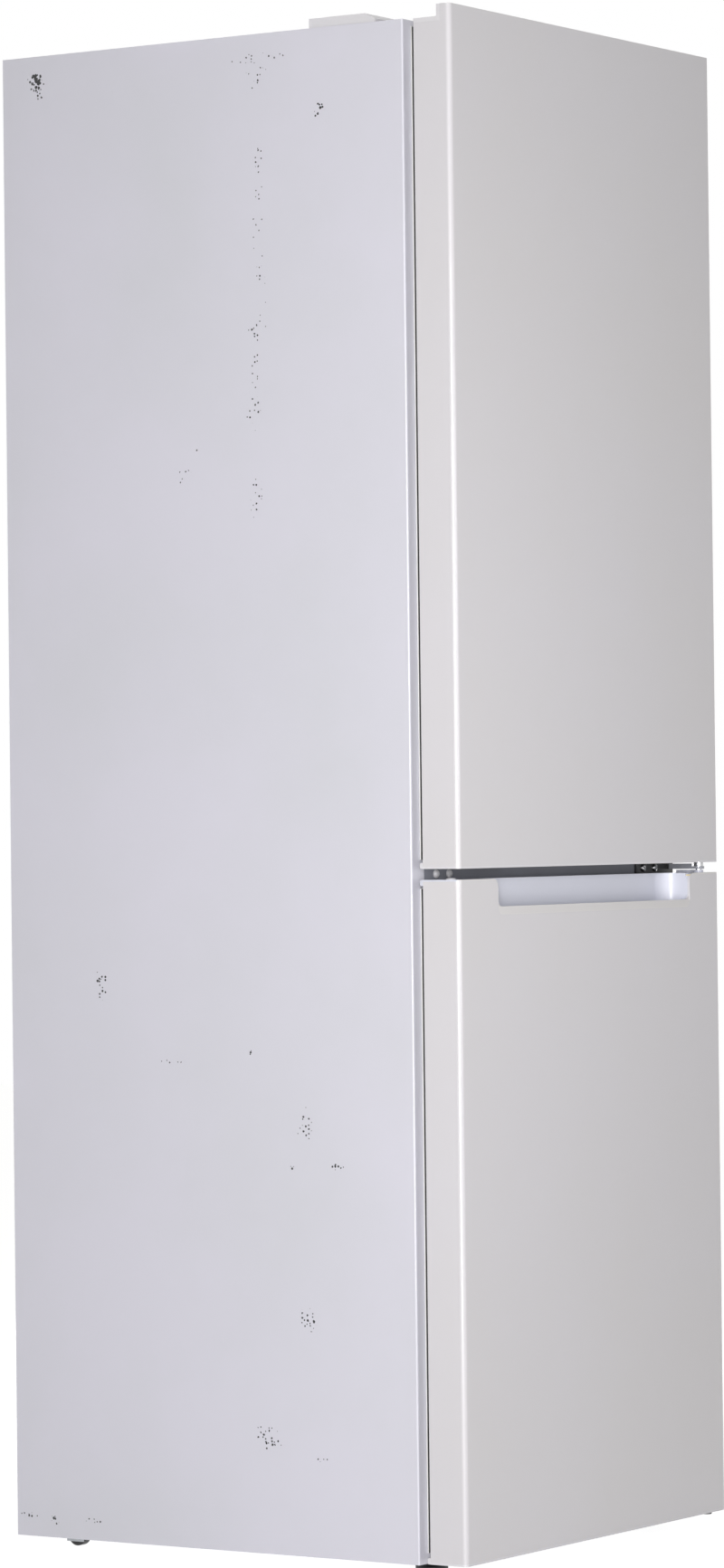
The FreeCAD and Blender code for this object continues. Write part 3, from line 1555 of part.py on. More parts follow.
def build_fan():
    """Motor on a cross arm behind the cover, and the axial fan on its shaft."""
    z = fan_height()
    fan_low = cover_plane() + s.cover_sheet + s.fan_gap
    fan_high = fan_low + s.fan_hub_length
    motor_low = fan_high + s.fan_gap
    motor_high = motor_low + s.motor_length
    case = rod("motor_case", "Y", (0, z), s.motor_radius, (motor_low, motor_high))
    shaft = rod("motor_shaft", "Y", (0, z), s.fan_shaft_radius, (fan_low + s.seat_gap, motor_high))
    arm_z = both_sides_of(z, s.motor_arm_width / 2)
    arm_y = (motor_high - s.motor_arm_sheet, motor_high)
    pieces = [case, shaft, block("motor_arm", both_sides(s.motor_arm_reach), arm_y, arm_z)]
    for side, sign in (("left", -1), ("right", 1)):
        inner = (s.motor_arm_reach - s.motor_arm_sheet) * sign
        outer = s.motor_arm_reach * sign
        x = (inner, outer) if sign > 0 else (outer, inner)
        leg_y = (cover_plane() + s.cover_sheet, motor_high)
        pieces.append(block(f"motor_leg_{side}", x, leg_y, arm_z))
    keep("fan_motor", together("fan_motor", pieces))
    hub = rod("fan_hub", "Y", (0, z), s.fan_hub_radius, (fan_low, fan_high))
    bore_radius = s.fan_shaft_radius + s.fan_shaft_play
    bore = rod("fan_bore", "Y", (0, z), bore_radius, (fan_low - s.cut_over, fan_high + s.cut_over))
    blades = [fan_blade(index, (fan_low + fan_high) / 2, z) for index in range(FAN_BLADES)]
    keep("evaporator_fan", cut("evaporator_fan", together("fan_form", [hub, *blades]), bore))


def blade_section(radius, chord, sheet, angle):
    """Rectangle across a blade, at a radius and turned to its pitch angle."""
    turn = math.radians(angle)
    along_chord = FreeCAD.Vector(0, math.sin(turn), math.cos(turn)) * (chord / 2)
    across = FreeCAD.Vector(0, math.cos(turn), -math.sin(turn)) * (sheet / 2)
    centre = FreeCAD.Vector(radius, 0, 0)
    corners = [
        centre + along_chord + across,
        centre - along_chord + across,
        centre - along_chord - across,
        centre + along_chord - across,
    ]
    return Part.makePolygon(corners + corners[:1])


def fan_blade(index, middle_y, axis_z):
    """One twisted blade, lofted from its root inside the hub to its tip."""
    hub = s.fan_hub_radius.value
    tip = s.fan_radius.value - s.fan_gap.value
    sheet = s.fan_blade_sheet.value
    chord = s.fan_hub_length.value * BLADE_CHORD_SHARE
    root = hub * BLADE_ROOT_SHARE
    sections = []
    for share in BLADE_SECTION_SHARES:
        radius = root + (tip - root) * share
        angle = BLADE_ROOT_ANGLE + BLADE_TWIST_ANGLE * share
        sections.append(blade_section(radius, chord * (1 + BLADE_SPREAD_SHARE * share), sheet, angle))
    blade = Part.makeLoft(sections, True, True)
    blade.rotate(FreeCAD.Vector(), AXIS_VECTORS["Y"], FULL_TURN / FAN_BLADES * index)
    blade.translate(FreeCAD.Vector(0, middle_y.value, axis_z.value))
    feature = document.addObject("Part::Feature", f"fan_blade_{index}")
    feature.Shape = blade
    return feature


def evaporator_span():
    """Front and rear faces of the evaporator's end plates."""
    return (cover_plane() + s.cover_sheet + s.evaporator_gap, freezer_back - s.seat_gap)


def evaporator_level(row):
    """Height of the tube passes of one row, counted from the lowest."""
    return step_top + s.evaporator_rise + s.evaporator_height * ((row + 0.5) / FIN_ROWS)


def evaporator_columns():
    """Y of the front and of the rear tube passes."""
    low, high = evaporator_span()
    return [low + (high - low) * share for share in FIN_TUBE_SHARES]


def evaporator_passes():
    """Corners of the tube's path: in at the right, to and fro through the fins, and out at the right."""
    reach = evaporator_half + s.return_reach
    points = []
    for row in range(FIN_ROWS):
        level = evaporator_level(row)
        columns = evaporator_columns()
        inward, outward = columns if row % 2 == 0 else reversed(columns)
        points += [(reach, inward, level), (-reach, inward, level)]
        points += [(-reach, outward, level), (reach, outward, level)]
    return points


def build_evaporator():
    """Finned block on one serpentine tube, between the air cover and the liner."""
    half = evaporator_half
    y = evaporator_span()
    z_low = step_top + s.evaporator_rise
    z = (z_low, z_low + s.evaporator_height)
    pieces = []
    pitch = half * 2 / (FINS - 1)
    for index in range(FINS):
        middle = pitch * index - half
        x = both_sides_of(middle, s.fin_sheet / 2)
        fin_y = y if index in (0, FINS - 1) else (y[0] + s.fin_sheet, y[1] - s.fin_margin)
        pieces.append(block(f"fin_{index}", x, fin_y, z))
    front_column, rear_column = evaporator_columns()
    bend = (rear_column - front_column) * RETURN_BEND_SHARE
    pieces.append(tube("evaporator_tube", evaporator_passes(), s.evaporator_tube_radius, bend))
    keep("evaporator", together("evaporator", pieces))


def door_plan(grow):
    """Plan rectangle of a door, made smaller all round by grow except at the rear."""
    return (left + grow, right - grow), (front + grow, door_rear)


def door_block(name, grow, z, rear_y=None):
    """A block with the door's plan and its rounded front corners."""
    x, y = door_plan(grow)
    if rear_y is not None:
        y = (y[0], rear_y)
    return rounded_block(name, x, y, z, s.door_corner_radius - grow, corners=(0, 1))


def door_skin(name, z, extra_tools):
    """Painted sheet wrapped over the front and sides and hemmed at the rear."""
    outside = door_block(name + "_outside", 0, z)
    inner_z = (z[0] - s.cut_over, z[1] + s.cut_over)
    inside = door_block(name + "_inside", s.door_sheet, inner_z, door_rear - s.door_sheet)
    opening = block(
        name + "_opening",
        both_sides(right - s.door_hem),
        (door_rear - s.cut_over / 2, door_rear + s.cut_over),
        inner_z,
    )
    keep(name, cut(name, outside, inside, opening, *extra_tools))


def dyke_spans(half, z, depth, shrink):
    """Spans of a dyke ring, or of the foam inside it when shrink is the liner's thickness."""
    x = both_sides(half - shrink)
    return x, (door_rear - s.door_liner_sheet, door_rear + depth - shrink), (z[0] + shrink, z[1] - shrink)


def door_liner_and_foam(name, skin_z, dyke_half, dyke_z, dyke_depth, foam_tools, lugs=()):
    """Vacuum-formed inner liner with its dyke, and the foam that fills the door and the dyke."""
    sheet = s.door_liner_sheet
    x = both_sides(right - s.door_hem)
    plate = block(name + "_liner_plate", x, (door_rear - sheet, door_rear), skin_z)
    ring = frame(name + "_dyke", *dyke_spans(dyke_half, dyke_z, dyke_depth, 0), s.dyke_width)
    core = frame(
        name + "_dyke_core", *dyke_spans(dyke_half, dyke_z, dyke_depth, sheet), s.dyke_width - sheet * 2
    )
    liner_form = together(name + "_liner_form", [plate, ring, *lugs])
    keep(name + "_liner", cut(name + "_liner", liner_form, core))
    block_y = door_rear - sheet
    body = door_block(name + "_foam_block", s.door_sheet, skin_z, block_y)
    foam_form = together(name + "_foam_form", [body, core])
    keep(name + "_foam", cut(name + "_foam", foam_form, *foam_tools))


def door_gasket(name, z):
    """Magnetic gasket: a wide face against the flange on a narrower bellows."""
    x = both_sides(right - s.gasket_side_inset)
    face_y = (flange - s.seat_gap - s.gasket_face_depth, flange - s.seat_gap)
    face = frame(name + "_face", x, face_y, z, s.gasket_face)
    inset = s.gasket_neck_inset
    neck = frame(
        name + "_neck",
        (x[0] + inset, x[1] - inset),
        (door_rear, face_y[0]),
        (z[0] + inset, z[1] - inset),
        s.gasket_neck,
    )
    keep(name, together(name, [face, neck]))


def pin_socket(name, z):
    """Solid boss round a hinge pin at the hinge axis."""
    return rod(name, "Z", (axis_x, axis_y), s.hinge_pin_radius + s.pin_play + s.socket_wall, z)


def pin_hole(name, z):
    """Hole for a hinge pin at the hinge axis."""
    return rod(name, "Z", (axis_x, axis_y), s.hinge_pin_radius + s.pin_play, z)


def cap_lobes(name, z):
    """Rounded tongues at the rear corners of an end cap that reach towards the case."""
    lobes = []
    for side, sign in (("left", -1), ("right", 1)):
        outer = (right - s.door_sheet) * sign
        inner = (right - s.door_sheet - s.cap_lobe_width) * sign
        x = (inner, outer) if sign > 0 else (outer, inner)
        outline = rectangle((door_rear, door_rear + s.cap_lobe_reach), z)
        radius = s.cap_lobe_height * LOBE_ROUND_SHARE
        lobes.append(slab(f"{name}_lobe_{side}", "YZ", outline, x, [((1, 2), radius)]))
    return lobes


def build_upper_door():
    skin_low = s.door_split + s.doors_gap + s.bottom_cap_show
    cap_low = case_top - s.door_cap_clearance - s.top_cap_show
    cap_high = case_top - s.door_cap_clearance
    lip_back = front + s.lip_steel
    behind_lip = block(
        "lip_clearance",
        (left - s.cut_over, right + s.cut_over),
        (lip_back, door_rear + s.cut_over),
        (cap_low, s.overall_height + s.cut_over),
    )
    end_x = (axis_x - s.lip_end_room, right + s.cut_over)
    end_y = (front + s.lip_end_wall, door_rear + s.cut_over)
    lip_end = block("lip_end_clearance", end_x, end_y, (cap_high, s.overall_height + s.cut_over))
    door_skin("upper_door_skin", (skin_low, s.overall_height), [behind_lip, lip_end])
    build_upper_caps(cap_low, cap_high, lip_end, skin_low)
    dyke_z = (fridge_floor + s.fridge_dyke_gap, fridge_ceiling - s.fridge_dyke_gap)
    sockets = [
        pin_socket("upper_foam_top", (case_top - s.pin_depth * TOP_SOCKET_SHARE, case_top)),
        pin_socket("upper_foam_bottom", (skin_low - s.cut_over, skin_low + s.pin_depth * TOP_SOCKET_SHARE)),
    ]
    door_liner_and_foam(
        "upper_door",
        (skin_low, cap_low),
        fridge_half - s.fridge_dyke_gap,
        dyke_z,
        s.fridge_dyke_depth,
        [*sockets, grip_recess("upper_foam_grip", -s.cap_skirt_wall)],
        build_door_bins(dyke_z),
    )
    gasket_low = s.door_split + s.doors_gap + s.gasket_end_inset
    door_gasket("upper_door_gasket", (gasket_low, cap_high - s.gasket_top_inset))


def grip_recess(name, shrink):
    """Hollow under the upper door for the fingers, above the recess of the lower door."""
    low = s.door_split + s.doors_gap
    x = (left + s.recess_left + shrink, right - s.recess_right - shrink)
    y_low = front + s.grip_front_wall + shrink
    y = (y_low, front + s.grip_front_wall + s.grip_length_front - shrink)
    z = (low - s.cut_over, low + s.grip_depth - shrink)
    return block(name, x, y, z)


def build_upper_caps(cap_low, cap_high, lip_end, skin_low):
    """Top cap with the riser of the lip, and bottom cap with the finger hollow."""
    sheet = s.door_sheet
    back = front + s.lip_steel
    plate = block("upper_cap_plate", (left, right), (back, door_rear), (cap_low, cap_high))
    filler = door_block("upper_cap_filler", sheet, (cap_low, s.overall_height - sheet), back)
    riser_y = (back, back + s.lip_riser)
    riser = block("upper_cap_riser", (left, right), riser_y, (cap_low, s.overall_height))
    boss = pin_socket("upper_top_socket", (case_top - s.pin_depth * TOP_SOCKET_SHARE, cap_high))
    form = together("upper_cap_form", [plate, filler, riser, boss])
    top_hole = pin_hole("upper_top_pin_hole", (case_top - s.pin_depth - s.seat_gap, cap_high + s.cut_over))
    keep("upper_door_top_cap", cut("upper_door_top_cap", form, lip_end, top_hole))
    low = s.door_split + s.doors_gap
    base = door_block("upper_base_plate", 0, (low, skin_low))
    boss = pin_socket("upper_bottom_socket", (low, skin_low + s.pin_depth * TOP_SOCKET_SHARE))
    low_hole = pin_hole("upper_bottom_pin_hole", (low - s.cut_over, low + s.pin_depth + s.seat_gap))
    cup = grip_recess("upper_grip_cup", -s.cap_skirt_wall)
    keep_low = block(
        "upper_grip_trim",
        (left, right),
        (front - s.cut_over, rear),
        (low - s.cut_over * 2, low),
    )
    cup_body = cut("upper_grip_body", cup, keep_low)
    lobes = cap_lobes("upper_base", (low, low + s.cap_lobe_height))
    form = together("upper_base_form", [base, cup_body, boss, *lobes])
    hollow = grip_recess("upper_grip_hollow", 0)
    keep("upper_door_bottom_cap", cut("upper_door_bottom_cap", form, hollow, low_hole))


def build_door_bins(dyke_z):
    """Three bins between the sides of the dyke, and the lugs that carry them."""
    half = fridge_half - s.fridge_dyke_gap - s.dyke_width - s.seat_gap
    back = (door_rear + s.seat_gap, door_rear + s.bin_depth)
    first = dyke_z[0] + s.dyke_width + s.bottle_bin_rise
    room = dyke_z[1] - s.dyke_width - first
    lugs = []
    for index, share in enumerate(BIN_SHARES):
        name = f"door_bin_{index + 1}"
        low = first + room * share
        height = s.bin_height if share else s.bottle_bin_height
        span_z = (low, low + height)
        outside, inside = open_box(name, both_sides(half), back, span_z, s.bin_wall, s.bin_radius)
        keep(name, cut(name, outside, inside))
        for side, sign in (("left", -1), ("right", 1)):
            inner = (half - s.bin_lug_reach) * sign
            outer = (half + s.seat_gap) * sign
            x = (inner, outer) if sign > 0 else (outer, inner)
            y = (door_rear, door_rear + s.bin_lug_depth)
            z = (low - s.seat_gap - s.bin_lug_height, low - s.seat_gap)
            lugs.append(block(f"bin_lug_{side}_{index}", x, y, z))
    return lugs


def recess_cutter(name, top, bottom, y):
    """The hand recess seen from the front: open at the top, with its rounded corners."""
    x_low = left + s.recess_left
    x_high = right - s.recess_right
    over = s.cut_over
    outline = [
        (x_low, bottom),
        (x_high, bottom),
        (x_high, top),
        (x_high + over, top),
        (x_high + over, top + over),
        (x_low - over, top + over),
        (x_low - over, top),
        (x_low, top),
    ]
    rounds = [((0, 1), s.recess_bottom_radius), ((2, 7), s.recess_top_radius)]
    return slab(name, "XZ", outline, y, rounds)


def build_lower_door():
    top = s.door_split
    skin_high = top - s.lower_cap_show
    skin_low = s.door_floor_gap + s.bottom_cap_show
    notch_bottom = top - s.recess_opening - s.recess_lip
    skin_y = (front - s.cut_over, front + s.door_corner_radius / 2)
    notch = recess_cutter("skin_notch", top, notch_bottom, skin_y)
    door_skin("lower_door_skin", (skin_low, skin_high), [notch])
    cup = build_lower_top_cap(top, skin_high, notch_bottom)
    build_lower_bottom_cap(skin_low)
    sockets = [
        pin_socket("lower_foam_top", (top - s.pin_depth * SOCKET_SHARE, top)),
        pin_socket("lower_foam_bottom", (s.door_floor_gap, s.door_floor_gap + s.pin_depth * SOCKET_SHARE)),
        plug_socket("lower_foam_plug", top),
    ]
    dyke_z = (freezer_floor + s.freezer_dyke_gap, freezer_ceiling - s.freezer_dyke_gap)
    door_liner_and_foam(
        "lower_door",
        (skin_low, skin_high),
        freezer_half - s.freezer_dyke_gap,
        dyke_z,
        s.freezer_dyke_depth,
        [*sockets, *cup],
    )
    gasket_z = (s.door_floor_gap + s.gasket_end_inset, top - s.gasket_end_inset)
    door_gasket("lower_door_gasket", gasket_z)


def plug_socket(name, top):
    """Boss under the plug on the side where the door is not hinged."""
    at = (left + s.hinge_inset, axis_y)
    return rod(name, "Z", at, s.hinge_pin_radius + s.socket_wall, (top - s.pin_depth * SOCKET_SHARE, top))


def build_lower_top_cap(top, skin_high, notch_bottom):
    """Moulded cap over the top edge of the door, in one piece with the cup of the hand recess."""
    wall = s.recess_wall
    x_low = left + s.recess_left
    x_high = right - s.recess_right
    back = front + s.recess_depth
    floor_level = top - s.recess_opening - s.recess_trough
    lip_top = top - s.recess_opening
    plate = door_block("lower_cap_plate", 0, (skin_high, top))
    cup_y = (front + s.door_sheet, back + wall)
    cup_z = (floor_level - wall, top)
    cup = rounded_block(
        "lower_cup_outside",
        (x_low - wall, x_high + wall),
        cup_y,
        cup_z,
        s.recess_end_radius,
        corners=(2, 3),
    )
    lip_outline = rectangle((x_low, x_high), (notch_bottom, lip_top))
    lip_y = (front, front + s.recess_front_wall)
    lip = slab("lower_lip", "XZ", lip_outline, lip_y, [((0, 1), s.recess_bottom_radius)])
    boss = pin_socket("lower_top_socket", (top - s.pin_depth * SOCKET_SHARE, top))
    blank = plug_socket("lower_plug_boss", top)
    ridge_x = both_sides_of(axis_x, s.stop_ridge_width / 2)
    ridge_y = (axis_y + s.stop_ridge_start, axis_y + s.stop_ridge_end)
    ridge = block("lower_stop_ridge", ridge_x, ridge_y, (top, top + s.stop_ridge_height))
    washer_z = (top, top + s.stop_ridge_height)
    washer = rod("lower_pin_washer", "Z", (axis_x, axis_y), s.hinge_pin_radius + s.socket_wall / 2, washer_z)
    lobes = cap_lobes("lower_cap", (top - s.cap_lobe_height, top))
    form = together("lower_cap_form", [plate, cup, lip, boss, blank, ridge, washer, *lobes])
    hollow = rounded_block(
        "lower_cup_inside",
        (x_low, x_high),
        (front + s.recess_front_wall, back),
        (floor_level, top + s.cut_over),
        s.recess_end_radius - wall,
        corners=(2, 3),
    )
    mouth_y = (front - s.cut_over, front + s.recess_front_wall * MOUTH_SHARE)
    mouth = recess_cutter("lower_cup_mouth", top, lip_top, mouth_y)
    top_hole = pin_hole("lower_top_pin_hole", (top - s.pin_depth - s.seat_gap, top + s.cut_over))
    plug_z = (top - s.plug_stem_length - s.seat_gap, top + s.cut_over)
    plug_hole = rod("lower_plug_hole", "Z", (left + s.hinge_inset, axis_y), s.plug_stem_radius, plug_z)
    keep("lower_door_top_cap", cut("lower_door_top_cap", form, hollow, mouth, top_hole, plug_hole))
    build_hole_plug(top)
    return [cup, lip]


def build_hole_plug(top):
    outline = [
        (0, -s.plug_stem_length),
        (s.plug_stem_radius, -s.plug_stem_length),
        (s.plug_stem_radius, 0),
        (s.hole_plug_radius, 0),
        *((s.hole_plug_radius * out, s.hole_plug_height * up) for out, up in HOLE_PLUG_DOME_SHARES),
        (0, s.hole_plug_height),
    ]
    keep("hinge_hole_plug", turned("hinge_hole_plug", outline, "Z", (left + s.hinge_inset, axis_y, top)))


def build_lower_bottom_cap(skin_low):
    low = s.door_floor_gap
    base = door_block("lower_base_plate", 0, (low, skin_low))
    boss = pin_socket("lower_bottom_socket", (low, low + s.pin_depth * SOCKET_SHARE))
    hole = pin_hole("lower_bottom_pin_hole", (low - s.cut_over, low + s.pin_depth + s.seat_gap))
    lobes = cap_lobes("lower_base", (low, low + s.cap_lobe_height))
    form = together("lower_base_form", [base, boss, *lobes])
    keep("lower_door_bottom_cap", cut("lower_door_bottom_cap", form, hole))


def build_cabinet():
    plug_holes = build_rail_plugs()
    holes = screw_holes("screw_hole", s.screw_clearance)
    build_hinge_screws()
    build_outer_case(holes)
    rail = build_cross_rail(holes, plug_holes)
    lines = line_holes()
    voids = [*build_fridge_liner(), *build_freezer_liner(lines), *build_base_pan(lines), rail]
    voids += build_refrigerant_tubes()
    build_cabinet_foam([*voids, *holes, *plug_holes, *lines])
    build_back_panel()
    pins = [build_top_hinge(holes), build_middle_hinge(holes), build_bottom_hinge(holes)]
    keep("hinge_pins", group("hinge_pins", pins))
    build_top_covers()


def build_machine_space():
    build_compressor_deck()
    build_compressor()
    build_compressor_mounts()
    build_drain_tray()
    build_rear_rollers()
    build_levelling_feet()


def build_insides():
    build_shelves()
    build_drawers()
    build_air_duct()
    build_control_box()
    build_evaporator_cover()
    build_fan()
    build_evaporator()


def check_and_export():
    """Stop on any failed object or bad shape, then write one STEP file for each sub-part."""
    document.recompute()
    failed = [item.Name for item in document.Objects if {"Invalid", "Error"} & set(item.State)]
    if failed:
        raise RuntimeError(f"objects failed to compute: {failed}")
    bad = [name for name, item in parts.items() if item.Shape.isNull() or not item.Shape.isValid()]
    if bad:
        raise RuntimeError(f"shapes are not valid: {bad}")
    os.makedirs("parts", exist_ok=True)
    for name, item in parts.items():
        item.Shape.exportStep(f"parts/{name}.step")
    print(len(parts), "sub-parts written")


build_cabinet()
build_machine_space()
build_insides()
build_upper_door()
build_lower_door()
check_and_export()
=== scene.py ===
"""Looks of a free-standing fridge freezer: fridge above, freezer below, both doors hinged on the right.

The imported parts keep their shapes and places, and get their finishes here. New pieces are the two
door gaskets with the section of the real ones, and the hinge screws with a cross recess in each head.
Lengths are metres unless a name ends in _mm, and the frame is the part's own: X to the right seen
from the front, the doors face -Y, Z up from the floor.
"""

import json
import logging
import math
from dataclasses import dataclass, field
from enum import Enum
from typing import Any

import bpy
import numpy as np
from mathutils import Matrix, Vector

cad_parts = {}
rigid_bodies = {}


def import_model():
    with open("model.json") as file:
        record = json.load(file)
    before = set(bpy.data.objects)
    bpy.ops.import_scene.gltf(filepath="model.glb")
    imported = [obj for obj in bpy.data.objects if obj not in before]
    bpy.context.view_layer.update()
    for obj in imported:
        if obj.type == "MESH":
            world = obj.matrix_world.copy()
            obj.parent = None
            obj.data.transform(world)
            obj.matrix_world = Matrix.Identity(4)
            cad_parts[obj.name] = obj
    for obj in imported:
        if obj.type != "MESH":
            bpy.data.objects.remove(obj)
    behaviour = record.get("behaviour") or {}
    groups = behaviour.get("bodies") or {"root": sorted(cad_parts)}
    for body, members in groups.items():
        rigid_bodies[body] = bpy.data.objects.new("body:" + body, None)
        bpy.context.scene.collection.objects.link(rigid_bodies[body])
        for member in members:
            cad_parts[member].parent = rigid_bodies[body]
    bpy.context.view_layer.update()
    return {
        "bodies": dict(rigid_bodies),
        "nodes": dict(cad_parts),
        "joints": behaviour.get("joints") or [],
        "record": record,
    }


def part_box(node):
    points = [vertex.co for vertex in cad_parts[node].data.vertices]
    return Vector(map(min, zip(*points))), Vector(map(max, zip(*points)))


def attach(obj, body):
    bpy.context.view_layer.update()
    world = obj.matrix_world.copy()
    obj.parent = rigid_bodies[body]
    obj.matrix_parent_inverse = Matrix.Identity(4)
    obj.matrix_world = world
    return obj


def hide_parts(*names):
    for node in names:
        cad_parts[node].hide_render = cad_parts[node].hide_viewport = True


LOG = logging.getLogger("fridge_freezer")
MM = 0.001

Colour = tuple[float, float, float, float]
WHITE: Colour = (1.0, 1.0, 1.0, 1.0)


# Helpers


def linear(hex_colour: str) -> Colour:
    """Turns an sRGB hex value into linear light, which is what a shader takes.

    Args:
        hex_colour: Six hex digits, red first.

    Returns:
        Red, green, blue and an alpha of 1.
    """
    shares = [int(hex_colour[i : i + 2], 16) / 255 for i in (0, 2, 4)]
    red, green, blue = (
        c / 12.92 if c <= 0.04045 else ((c + 0.055) / 1.055) ** 2.4 for c in shares
    )
    return red, green, blue, 1.0


def add_node(
    tree: bpy.types.NodeTree,
    kind: str,
    settings: dict[str, Any] | None = None,
    links: dict[str | int, bpy.types.NodeSocket] | None = None,
) -> bpy.types.Node:
    """Adds one node, with its settings and what feeds it.

    Args:
        tree: The tree that gets the node.
        kind: The node's type, without the leading ShaderNode.
        settings: Values by attribute name, or by input name or number.
        links: Sockets of earlier nodes, by the name or number of the input that they feed.

    Returns:
        The new node.
    """
    node = tree.nodes.new("ShaderNode" + kind)
    for key, value in (settings or {}).items():
        if isinstance(key, str) and hasattr(node, key):
            setattr(node, key, value)
        else:
            node.inputs[key].default_value = value
    for key, socket in (links or {}).items():
        tree.links.new(socket, node.inputs[key])
    return node


def calculate(
    tree: bpy.types.NodeTree, operation: str, *terms: float | bpy.types.NodeSocket
) -> bpy.types.NodeSocket:
    """Does one sum on numbers and sockets.

    Args:
        tree: The tree that gets the node.
        operation: The Math node's name for the sum.
        terms: What it takes, in order.

    Returns:
        The socket with the result.
    """
    settings, links = {"operation": operation}, {}
    for number, term in enumerate(terms):
        into = settings if isinstance(term, float) else links
        into[number] = term
    return add_node(tree, "Math", settings, links).outputs[0]


def ramp(
    tree: bpy.types.NodeTree, value: bpy.types.NodeSocket, start: float, end: float, low: float, high: float
) -> bpy.types.NodeSocket:
    """Maps a value straight from one range to another, and holds it at the ends.

    Args:
        tree: The tree that gets the node.
        value: The value.
        start: Value that gives the low end.
        end: Value that gives the high end.
        low: Result at the start.
        high: Result at the end.

    Returns:
        The socket with the result.
    """
    limits = {"From Min": start, "From Max": end, "To Min": low, "To Max": high}
    return add_node(tree, "MapRange", limits, {"Value": value}).outputs["Result"]


def mix_colours(
    tree: bpy.types.NodeTree,
    share: bpy.types.NodeSocket,
    first: str | bpy.types.NodeSocket,
    second: str | bpy.types.NodeSocket,
) -> bpy.types.NodeSocket:
    """Mixes two colours, each an sRGB hex value or a socket.

    Args:
        tree: The tree that gets the node.
        share: Share of the second colour.
        first: The first colour.
        second: The second colour.

    Returns:
        The socket with the mixed colour.
    """
    settings, links = {"data_type": "RGBA"}, {0: share}
    # The Mix node's inputs 6 and 7 are the two colours.
    for number, colour in ((6, first), (7, second)):
        if isinstance(colour, str):
            settings[number] = linear(colour)
        else:
            links[number] = colour
    return add_node(tree, "Mix", settings, links).outputs[2]


def surface_object(
    name: str, points: np.ndarray, faces: np.ndarray, sharp: float = 35.0
) -> bpy.types.Object:
    """Makes an object from arrays of points and quads, shaded smooth but for its sharp edges.

    Args:
        name: Name of the piece.
        points: Array (n, 3) of places in metres.
        faces: Array (m, 4) of point numbers, wound so that the face points outwards.
        sharp: Edges that turn by more degrees than this stay sharp.

    Returns:
        The object, at the origin, linked to the scene.
    """
    mesh = bpy.data.meshes.new(name)
    # Where a ring shrinks to a point, a quad names that point twice, and becomes a triangle here.
    mesh.from_pydata(points.tolist(), [], [list(dict.fromkeys(face)) for face in faces.tolist()])
    mesh.validate()
    mesh.shade_smooth()
    mesh.set_sharp_from_angle(angle=math.radians(sharp))
    piece = bpy.data.objects.new(name, mesh)
    bpy.context.scene.collection.objects.link(piece)
    return piece


def ring_faces(rings: int, around: int, closed: bool) -> np.ndarray:
    """Numbers the quads between rings of points.

    Point j of ring i has the number i * around + j, and a quad joins it to its neighbours in the next
    ring and round its own.

    Args:
        rings: How many rings there are.
        around: Points round each ring.
        closed: Whether the last ring joins the first.

    Returns:
        Array (m, 4) of point numbers.
    """
    i = np.arange(rings if closed else rings - 1)[:, None]
    j = np.arange(around)[None, :]
    below = (i + 1) % rings
    beside = (j + 1) % around
    quads = np.stack(
        [i * around + j, below * around + j, below * around + beside, i * around + beside], axis=-1
    )
    return quads.reshape(-1, 4)


# Finishes


class Slot(Enum):
    """The record's material slots."""

    WHITE_PAINT = "white_paint"
    WHITE_PLASTIC = "white_plastic"
    LINER_WHITE = "liner_white"
    GREY_PLASTIC = "grey_plastic"
    GASKET_WHITE = "gasket_white"
    BLACK_RUBBER = "black_rubber"
    BLACK_PLASTIC = "black_plastic"
    BLACK_PAINT = "black_paint"
    GREY_PAINT = "grey_paint"
    ZINC_STEEL = "zinc_steel"
    BRIGHT_STEEL = "bright_steel"
    ALUMINIUM = "aluminium"
    COPPER = "copper"
    FOAM = "foam"
    SHELF_GLASS = "shelf_glass"
    CLEAR_PLASTIC = "clear_plastic"
    LENS_PLASTIC = "lens_plastic"


class Relief(Enum):
    """How the fine relief of a surface was made."""

    PEEL = "orange peel of a sprayed or coil coated paint"
    SPARK = "spark eroded grain of a moulding tool"
    ROLLED = "lines of a rolling mill, along Z"
    CELLS = "cells of a rigid foam"
    SMOOTH = "polished, with only a slow waviness"


# The noise of the clouds lies mostly between these values, and its ends stay clean or fully stained.
CLOUD_RANGE = (0.38, 0.72)
# How far the roughness follows the relief, as a share of the roughness.
GLOSS_SPREAD = 0.15
# Share of its length that Z keeps in the rolled relief.
ROLLING_SQUEEZE = 0.03
# Squared distance from a worn patch's middle, in half widths, at which it ends.
PATCH_REACH = 1.4


@dataclass(frozen=True)
class WearPatch:
    """A patch of small chips and scuffs on the left side panel, in millimetres of the part's frame."""

    y_mm: float
    z_mm: float
    half_depth_mm: float
    half_height_mm: float
    strength: float


